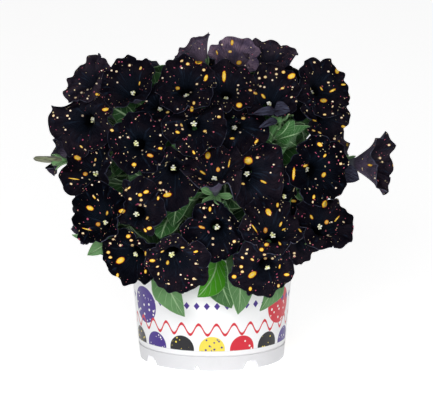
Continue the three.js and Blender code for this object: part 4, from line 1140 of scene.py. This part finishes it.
def leafBlade(template, base, tip, width, outward, seed, toneAndLight, arch=0.12, free=False, outline=None):
    piece = copyOf(template, "blade")
    across, along = gridShares(piece)
    base, tip = np.array(base, float), np.array(tip, float)
    way = tip - base
    length = np.linalg.norm(way)
    way = way / length
    side = unit(np.cross(way, outward))
    normal = unit(np.cross(side, way))
    places, shares = zip(*(outline or leaf["outline"]))
    share = np.interp(along, places, shares)
    u = across * 2 - 1
    half = width / 2 * share
    margin = leaf["margin"] * np.sin(along * 15 + seed * 5 + np.sign(u)) * np.abs(u) ** 3 * share
    rise = half * (leaf["cup"] * np.abs(u) ** 1.6) + margin * width / 26
    depth, breadth = leaf["groove"]
    valley = -depth * np.exp(-(u / breadth) ** 2)
    depth, ribs = leaf["quilt"]
    valley += depth * np.sin(along * ribs + np.abs(u) * 9) * np.abs(u) * (1 - np.abs(u)) * 2
    bend = arch * length * np.sin(np.pi * along) + rise + valley
    sway = u * half + leaf["sway"] * width * np.sin(np.pi * along) * math.sin(seed * 9)
    points = base + way * (along * length)[:, None] + normal * bend[:, None] + side * sway[:, None]
    if not free:
        # out of the way of blooms and pot, with the bend evened out over the blade
        place = (leaf["rank"], leaf["layer"], blossom["spare"][0], leaf["throatRoom"])
        field = np.zeros((leaf["along"] + 1, leaf["across"] + 1, 3))
        r, c = np.rint(along * leaf["along"]).astype(int), np.rint(across * leaf["across"]).astype(int)
        field[r, c] = clearPot(tuck(points, *place)) - points
        for _ in range(2):
            padded = np.pad(field, ((1, 1), (1, 1), (0, 0)), "edge")
            beside = padded[:-2, 1:-1] + padded[2:, 1:-1] + padded[1:-1, :-2] + padded[1:-1, 2:]
            field = (beside + 4 * field) / 8
        points = clearPot(tuck(clearTubes(points + field[r, c]), *place))
    movePoints(piece, points * mm)
    corners = cornerPoints(piece)
    fillMap(piece, "blade", np.stack([u * half / 10 + seed * 3.1, along * length / 10], -1)[corners])
    fillMap(piece, "vein", np.stack([u, along * length / width], -1)[corners])
    fillValue(piece, "toneAndLight", toneAndLight)
    finishWith(piece, "SOLIDIFY", thickness=leaf["skin"] * mm, offset=0)
    return piece


def plainMaps(piece, toneAndLight):
    # one place in the leaf's pattern for the whole piece
    corners = len(piece.data.loops)
    fillMap(piece, "blade", np.zeros((corners, 2)))
    fillMap(piece, "vein", np.full((corners, 2), 0.5))
    fillValue(piece, "toneAndLight", toneAndLight)


def calyxPieces(sepalGrid, rod, root, axis, side, upward, s, seed, spreading=0.5, toneAndLight=0.6, tips=()):
    # a cup round the tube's end with five spoon-shaped sepals
    heights, radii = (np.interp(np.linspace(0, 1, 9), np.linspace(0, 1, len(calyx["cup"])), values) * s
                      for values in zip(*calyx["cup"]))
    cup = alongPath(rod, root + heights[:, None] * axis, radii, "cup")
    plainMaps(cup, toneAndLight)
    made = [cup]
    for k, tip in enumerate(tips):
        made.append(leafBlade(sepalGrid, root + axis, tip, calyx["openWidth"], (0, -1, 0.25),
                              seed + k * 0.13, 0.62, arch=0.1, free=True, outline=calyx["outline"]))
    for k in range(0 if tips else calyx["sepals"]):
        angle = 2 * math.pi * (k / calyx["sepals"] + wave(seed, 5)) + 0.3 * wave(seed, k)
        out = math.cos(angle) * side + math.sin(angle) * upward
        spread = spreading + 0.35 * (wave(k, seed) - 0.5)
        base = root + out * 2.3 * s + axis * 0.2 * s
        length = calyx["length"] * s * (0.85 + 0.3 * wave(seed + 3, k))
        tip = base + (out * math.sin(spread) + axis * math.cos(spread)) * length
        outward = axis * math.sin(spread) - out * math.cos(spread)
        made.append(leafBlade(sepalGrid, base, tip, calyx["width"] * s, outward, seed + k * 0.13, toneAndLight,
                              arch=-0.10, free=True, outline=calyx["outline"]))
    return made


def stemCurves(sector):
    out = heading(360 / stem["count"] * sector, 0)
    at = lambda radius, z: np.array([domeCentre[0] / 2, 0, z]) + out * radius
    main = [at(stem["soilRing"], soilTop - 9), at(stem["soilRing"] + 2, soilTop + 14), at(33, 124),
            at(42, 152), at(36, 180), at(20, 203)]
    return main, [stemPoint(main, 0.3), at(42, 117), at(56, 112), at(66, 107)]


def sectorOf(point):
    turn = math.degrees(math.atan2(point[0] - domeCentre[0] / 2, -point[1]))
    return int(math.floor(turn / (360 / stem["count"]) + stem["count"] + 0.5)) % stem["count"]


def makeLeafyStem(sector, leafGrid, sepalGrid, rod):
    curves = stemCurves(sector)
    main, branch = curves
    made, green, taken = [], [], []
    steps = 9
    toSector = 360 / stem["count"] * sector

    def twig(seat, axis, own, first, last):
        start = bestStart(curves, seat, axis, own, taken)
        green.append(alongPath(rod, bezier(twigEnds(start, seat, axis)), np.linspace(first, last, steps),
                               "twig"))

    # the main stem in three lengths and its low branch
    for curve, start, parts in ((main, 0.0, 3), (branch, 0.4, 1)):
        for part in range(parts):
            span = np.linspace(part / parts, (part + 1) / parts, steps)
            radii = stem["radius"] + (stem["tipRadius"] - stem["radius"]) * (start + (1 - start) * span)
            green.append(alongPath(rod, [stemPoint(curve, t) for t in span], radii, "arm"))
    for bloom in blooms:
        if sectorOf(bloom["root"]) != sector:
            continue
        axis, s = bloom["axis"], bloom["scale"]
        twig(bloom["root"] + axis * calyx["foot"] * s, axis, bloom["index"], stem["twig"] * 1.15,
             stem["twig"] * 0.95)
        made += calyxPieces(sepalGrid, rod, bloom["root"], axis, bloom["side"], bloom["up"], s,
                            bloom["index"], tips=calyx["openTips"].get(bloom["number"], ()))

    def leafFrom(base, tip, width, toneAndLight, seed, outward=None):
        base, tip = np.array(base, float), np.array(tip, float)
        way = unit(tip - base)
        if outward is None:
            outward = unit((base + tip) / 2 - domeCentre)
        start = bestStart(curves, base, way, None, taken)
        stalk = bezier((start, start + (base - start) * 0.35 + up * 1.5, base - way * 2, base + way * 0.8))
        green.append(alongPath(rod, stalk, np.linspace(1.0, 0.75, steps), "stalk"))
        made.append(leafBlade(leafGrid, base, tip, width, outward, seed, toneAndLight))

    for k, (base, tip, width, toneAndLight) in enumerate(frontLeaves):
        if sectorOf(base) == sector:
            leafFrom(base, tip, width, toneAndLight, k + 1)
    # leaves on the stem and in the heart of the bush get low tones: painted shade inside the bush
    for k, (share, turn, length, width) in enumerate(stemLeaves + fillers):
        start = stemPoint(main, share)
        low, more, play = stem["leafRise"]
        rise = low + more * share + play * (wave(sector, k) - 0.5)
        way = heading(toSector + turn, rise)
        base = start + way * stem["leafStalk"]
        leafFrom(base, base + way * length, width, 0.1 + 0.3 * wave(k, sector), sector * 10 + k + 40)
    for k, (reach, turn, foot, length, width) in enumerate(heart):
        out = heading(toSector + turn, 0)
        base = np.array([domeCentre[0] / 2, 0, foot]) + out * reach
        leafFrom(base, base + out * 6 + up * length, width, 0.05 + 0.2 * wave(k, sector + 5),
                 sector * 10 + k + 60, out)
    if sectorOf(bud["root"]) == sector:
        root, tip = np.array(bud["root"], float), np.array(bud["tip"], float)
        arrive = unit(tip - root)
        twig(root + arrive * calyx["foot"] * 0.75, arrive, None, 0.9, 0.9)
        upward = unit(np.cross(arrive, up))
        made += calyxPieces(sepalGrid, rod, root, arrive, up, upward, 0.8, 77, spreading=0.35, toneAndLight=0.8)
    if sectorOf(withered["root"]) == sector:
        root, arrive = np.array(withered["root"], float), unit(np.array(withered["axis"], float))
        twig(root - arrive * 4, arrive, None, 0.85, 0.85)
        side = unit(np.cross(arrive, up))
        made += calyxPieces(sepalGrid, rod, root, arrive, side, np.cross(arrive, side), 1.0, 63,
                            spreading=1.1, toneAndLight=0.72)
    for piece in green:
        plainMaps(piece, 0.4)
    for piece in green + made:
        giveMaterials(piece, leafGreen, stemGreen)
    for piece in green:
        setMaterialIndex(piece, 1)
    whole = joinPieces(green + made, "leafyStem_%d" % (sector + 1))
    smooth(whole, 50)
    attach(whole, "root")
    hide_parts("leafy_stem_%d" % (sector + 1))


# on the leaves, dark stands for painted shade and pale for painted light from behind
greens = {"dark": "#16301c", "middle": "#2f5f2b", "pale": "#648f5c", "bright": "#3f8c14", "rib": "#a9c99a"}
# scales of the patches and pits, number and slant of the side veins, distance and strength of the bump
leafLook = {"patches": 1.4, "pits": 14.0, "sideVeins": 5.0, "slant": 2.2, "bump": (0.0007, 0.8)}


def makeLeafGreen():
    material = newMaterial("leafGreen", **{"Roughness": 0.55, "Specular IOR Level": 0.25,
                                           "Sheen Weight": 0.08, "Sheen Roughness": 0.5,
                                           "Sheen Tint": linear("#e2f0d8")})
    place = mapOf("blade")
    vein = axesOf(mapOf("vein"))
    u, along = absolute(vein[0]), vein[1]
    # the leaf's own tone with its painted light and shade, varied by patches of noise
    toneAndLight = plus(valueOf("toneAndLight"), times(minus(noiseOf(place, leafLook["patches"], 4.0), 0.5), 0.22))
    colour = colourRamp(toneAndLight, [(0, greens["dark"]), (0.38, greens["middle"]), (0.7, greens["pale"]),
                               (0.8, greens["pale"]), (0.97, greens["bright"])])
    midrib = between(u, 0.09, 0.02)
    slope = minus(times(along, leafLook["sideVeins"]), times(maths("POWER", u, 0.8), leafLook["slant"]))
    sideVein = absolute(minus(maths("FRACT", plus(slope, times(noiseOf(place, 2.0), 0.25))), 0.5))
    sideLine = times(between(sideVein, 0.07, 0.01), between(u, 1.0, 0.6))
    lines = maths("MAXIMUM", midrib, times(sideLine, 0.55))
    colour = mixColours(times(lines, 0.72), colour, greens["rib"])
    colour = mixColours(times(between(u, 0.93, 1.0), 0.5), colour, greens["rib"])
    feed("Base Color", colour)
    pits = noiseOf(place, leafLook["pits"], 4.0)
    height = minus(times(pits, 0.5), times(lines, 0.6))
    feed("Normal", bumpOf(height, *leafLook["bump"]))
    return material


def makeStemGreen():
    material = newMaterial("stemGreen", **{"Roughness": 0.6, "Specular IOR Level": 0.3, "Sheen Weight": 0.5,
                                           "Sheen Roughness": 0.4, "Sheen Tint": linear("#eef5e4")})
    place = objectPlace()
    colour = mixColours(between(noiseOf(place, 90.0, 4.0), 0.35, 0.65), "#3f6232", "#6d8f5c")
    feed("Base Color", colour)
    feed("Normal", bumpOf(noiseOf(place, 1500.0, 2.0), 0.0005))
    return material


leafGreen, stemGreen = makeLeafGreen(), makeStemGreen()
leafGrid = newGrid("leafTemplate", leaf["across"], leaf["along"])
sepalGrid = newGrid("sepalTemplate", 3, 6)
rod = newRod("rodTemplate", 8, 8)
for sector in range(stem["count"]):
    makeLeafyStem(sector, leafGrid, sepalGrid, rod)
print("leafy stems made:", stem["count"])


def makeWithered():
    material = newMaterial("witheredPetal", **{"Roughness": 0.75, "Specular IOR Level": 0.08})
    place = mapOf("blade")
    # ribs of dark and pale: the pale stripes are partly the petal's grey and partly a painted highlight
    ribs = noiseOf(vectorMaths("MULTIPLY", place, (9.0, 0.8, 1.0)), 1.6, 3.0)
    colour = mixColours(between(ribs, 0.35, 0.65), petals["backVein"], petals["edge"])
    feed("Base Color", colour)
    feed("Normal", bumpOf(ribs, 0.0012))
    made = [leafBlade(leafGrid, base, tip, width, (0.2, -0.9, 0.4), k * 1.7 + 3, 0, arch=0.2, free=True)
            for k, (base, tip, width) in enumerate(withered["petals"])]
    whole = joinPieces(made, "witheredBloom")
    giveMaterials(whole, material)
    smooth(whole, 50)
    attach(whole, "root")


makeWithered()


# bud: long and pleated
def makeBud():
    rodFine = newRod("rodFine", 20, 16)
    root, tip = np.array(bud["root"], float), np.array(bud["tip"], float)
    share = np.linspace(0, 1, 17)
    path = root + (tip - root) * share[:, None]
    radii = bud["radius"] * (0.35 + 0.65 * np.sin(np.pi * (0.1 + 0.8 * share)))
    radii[-1] *= 0.35
    piece = alongPath(rodFine, path, radii, "closedBud")
    points = readPoints(piece) / mm
    way = unit(tip - root)
    along = (points - root) @ way
    spoke = points - (root + along[:, None] * way)
    turn = np.arctan2(spoke @ up, spoke @ unit(np.cross(way, up)))
    points += spoke * (0.10 * np.sin(5 * turn + along * 0.28))[:, None]
    movePoints(piece, points * mm)
    removePiece(rodFine)
    smooth(piece, 60)
    material = newMaterial("budSkin", **{"Roughness": 0.6, "Specular IOR Level": 0.3, "Sheen Weight": 0.4})
    place = objectPlace()
    stripes = noiseOf(vectorMaths("MULTIPLY", place, (60.0, 900.0, 900.0)), 1.0, 3.0)
    colour = mixColours(between(stripes, 0.4, 0.62), "#838b6c", "#514e44")
    feed("Base Color", colour)
    feed("Normal", bumpOf(stripes, 0.0006))
    giveMaterials(piece, material)
    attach(piece, "root")
    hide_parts("bud")


makeBud()
for template in (leafGrid, sepalGrid, rod):
    removePiece(template)
print("bud made")


# peat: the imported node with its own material, and loose crumbs on it
def makePeatBrown():
    material = newMaterial("peatBrown", **{"Roughness": 0.95, "Specular IOR Level": 0.15})
    place = objectPlace()
    lumps = noiseOf(place, 160.0, 6.0, 0.65)
    colour = colourRamp(lumps, [(0.3, "#140d08"), (0.5, "#2c1d12"), (0.7, "#4a3422"), (0.85, "#6b523a")])
    feed("Base Color", colour)
    feed("Normal", bumpOf(lumps, 0.004))
    return material


peatBrown = makePeatBrown()
giveMaterials(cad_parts["peat"], peatBrown)
crumb = {"count": 320, "size": (0.7, 2.2), "reach": 57, "shape": (1.3, 0.9, 0.7), "lumps": (3.1, 5.3, 2.2)}


def makeCrumbs():
    lump = addMesh(bpy.ops.mesh.primitive_ico_sphere_add, "lump", subdivisions=1, radius=1)
    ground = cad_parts["peat"]
    made = []
    for k in range(crumb["count"]):
        angle, reach = 2 * math.pi * wave(k, 1), crumb["reach"] * math.sqrt(wave(k, 2))
        x, y = reach * math.cos(angle), reach * math.sin(angle)
        hit, place, _, _ = ground.ray_cast(Vector((x * mm, y * mm, 0.2)), Vector((0, 0, -1)))
        if not hit:
            continue
        size = crumb["size"][0] + (crumb["size"][1] - crumb["size"][0]) * wave(k, 3) ** 2
        piece = copyOf(lump, "crumb")
        shape = readPoints(piece)
        lumps = 0.8 + 0.5 * np.sin(shape @ np.array(crumb["lumps"]) + k)
        shape = shape * size * np.array(crumb["shape"]) * lumps[:, None]
        c, s = math.cos(k * 2.4), math.sin(k * 2.4)
        x, y, z = shape.T
        turned = np.stack([x * c - y * s, x * s + y * c, z], -1)
        movePoints(piece, (turned + np.array(place) / mm + np.array([0, 0, size * 0.25])) * mm)
        made.append(piece)
    whole = joinPieces(made, "peatCrumbs")
    giveMaterials(whole, peatBrown)
    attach(whole, "root")
    removePiece(lump)


makeCrumbs()
print("peat made")

# floor and light
stage = {"floor": 40, "below": -0.0002, "white": "#f6f6f6", "lightest": "#f8f8f8", "glow": 0.73, "sky": 0.1,
         "target": (0, 0, 0.13)}
# place, power and size
lights = {"keyLight": ((-0.45, -2.8, 1.0), 37, 1.3), "fillLight": ((0.7, -2.8, 0.5), 17, 1.3),
          "topLight": ((0, 0.3, 2.4), 9, 2.4)}
floor = addMesh(bpy.ops.mesh.primitive_plane_add, "floor", size=stage["floor"],
                location=(0, 0, stage["below"]))
material = newMaterial("floorPaper", **{"Roughness": 0.9, "Specular IOR Level": 0.1,
                                        "Emission Color": (1, 1, 1, 1), "Emission Strength": stage["glow"]})
paper = mixColours(noiseOf(objectPlace(), 3.0, 2.0), stage["white"], stage["lightest"])
feed("Base Color", paper)
giveMaterials(floor, material)

world = bpy.data.worlds.new("studio")
bpy.context.scene.world = world
world.use_nodes = True
world.node_tree.nodes["Background"].inputs[0].default_value = (1, 1, 1, 1)
world.node_tree.nodes["Background"].inputs[1].default_value = stage["sky"]


def addLight(name, place, power, size):
    bpy.ops.object.light_add(type="AREA", location=place)
    light = bpy.context.object
    light.name = name
    light.data.energy, light.data.size = power, size
    light.rotation_euler = (Vector(stage["target"]) - Vector(place)).to_track_quat("-Z", "Y").to_euler()


for name, settings in lights.items():
    addLight(name, *settings)
bpy.context.scene.view_settings.view_transform = "Standard"
print("stage made")
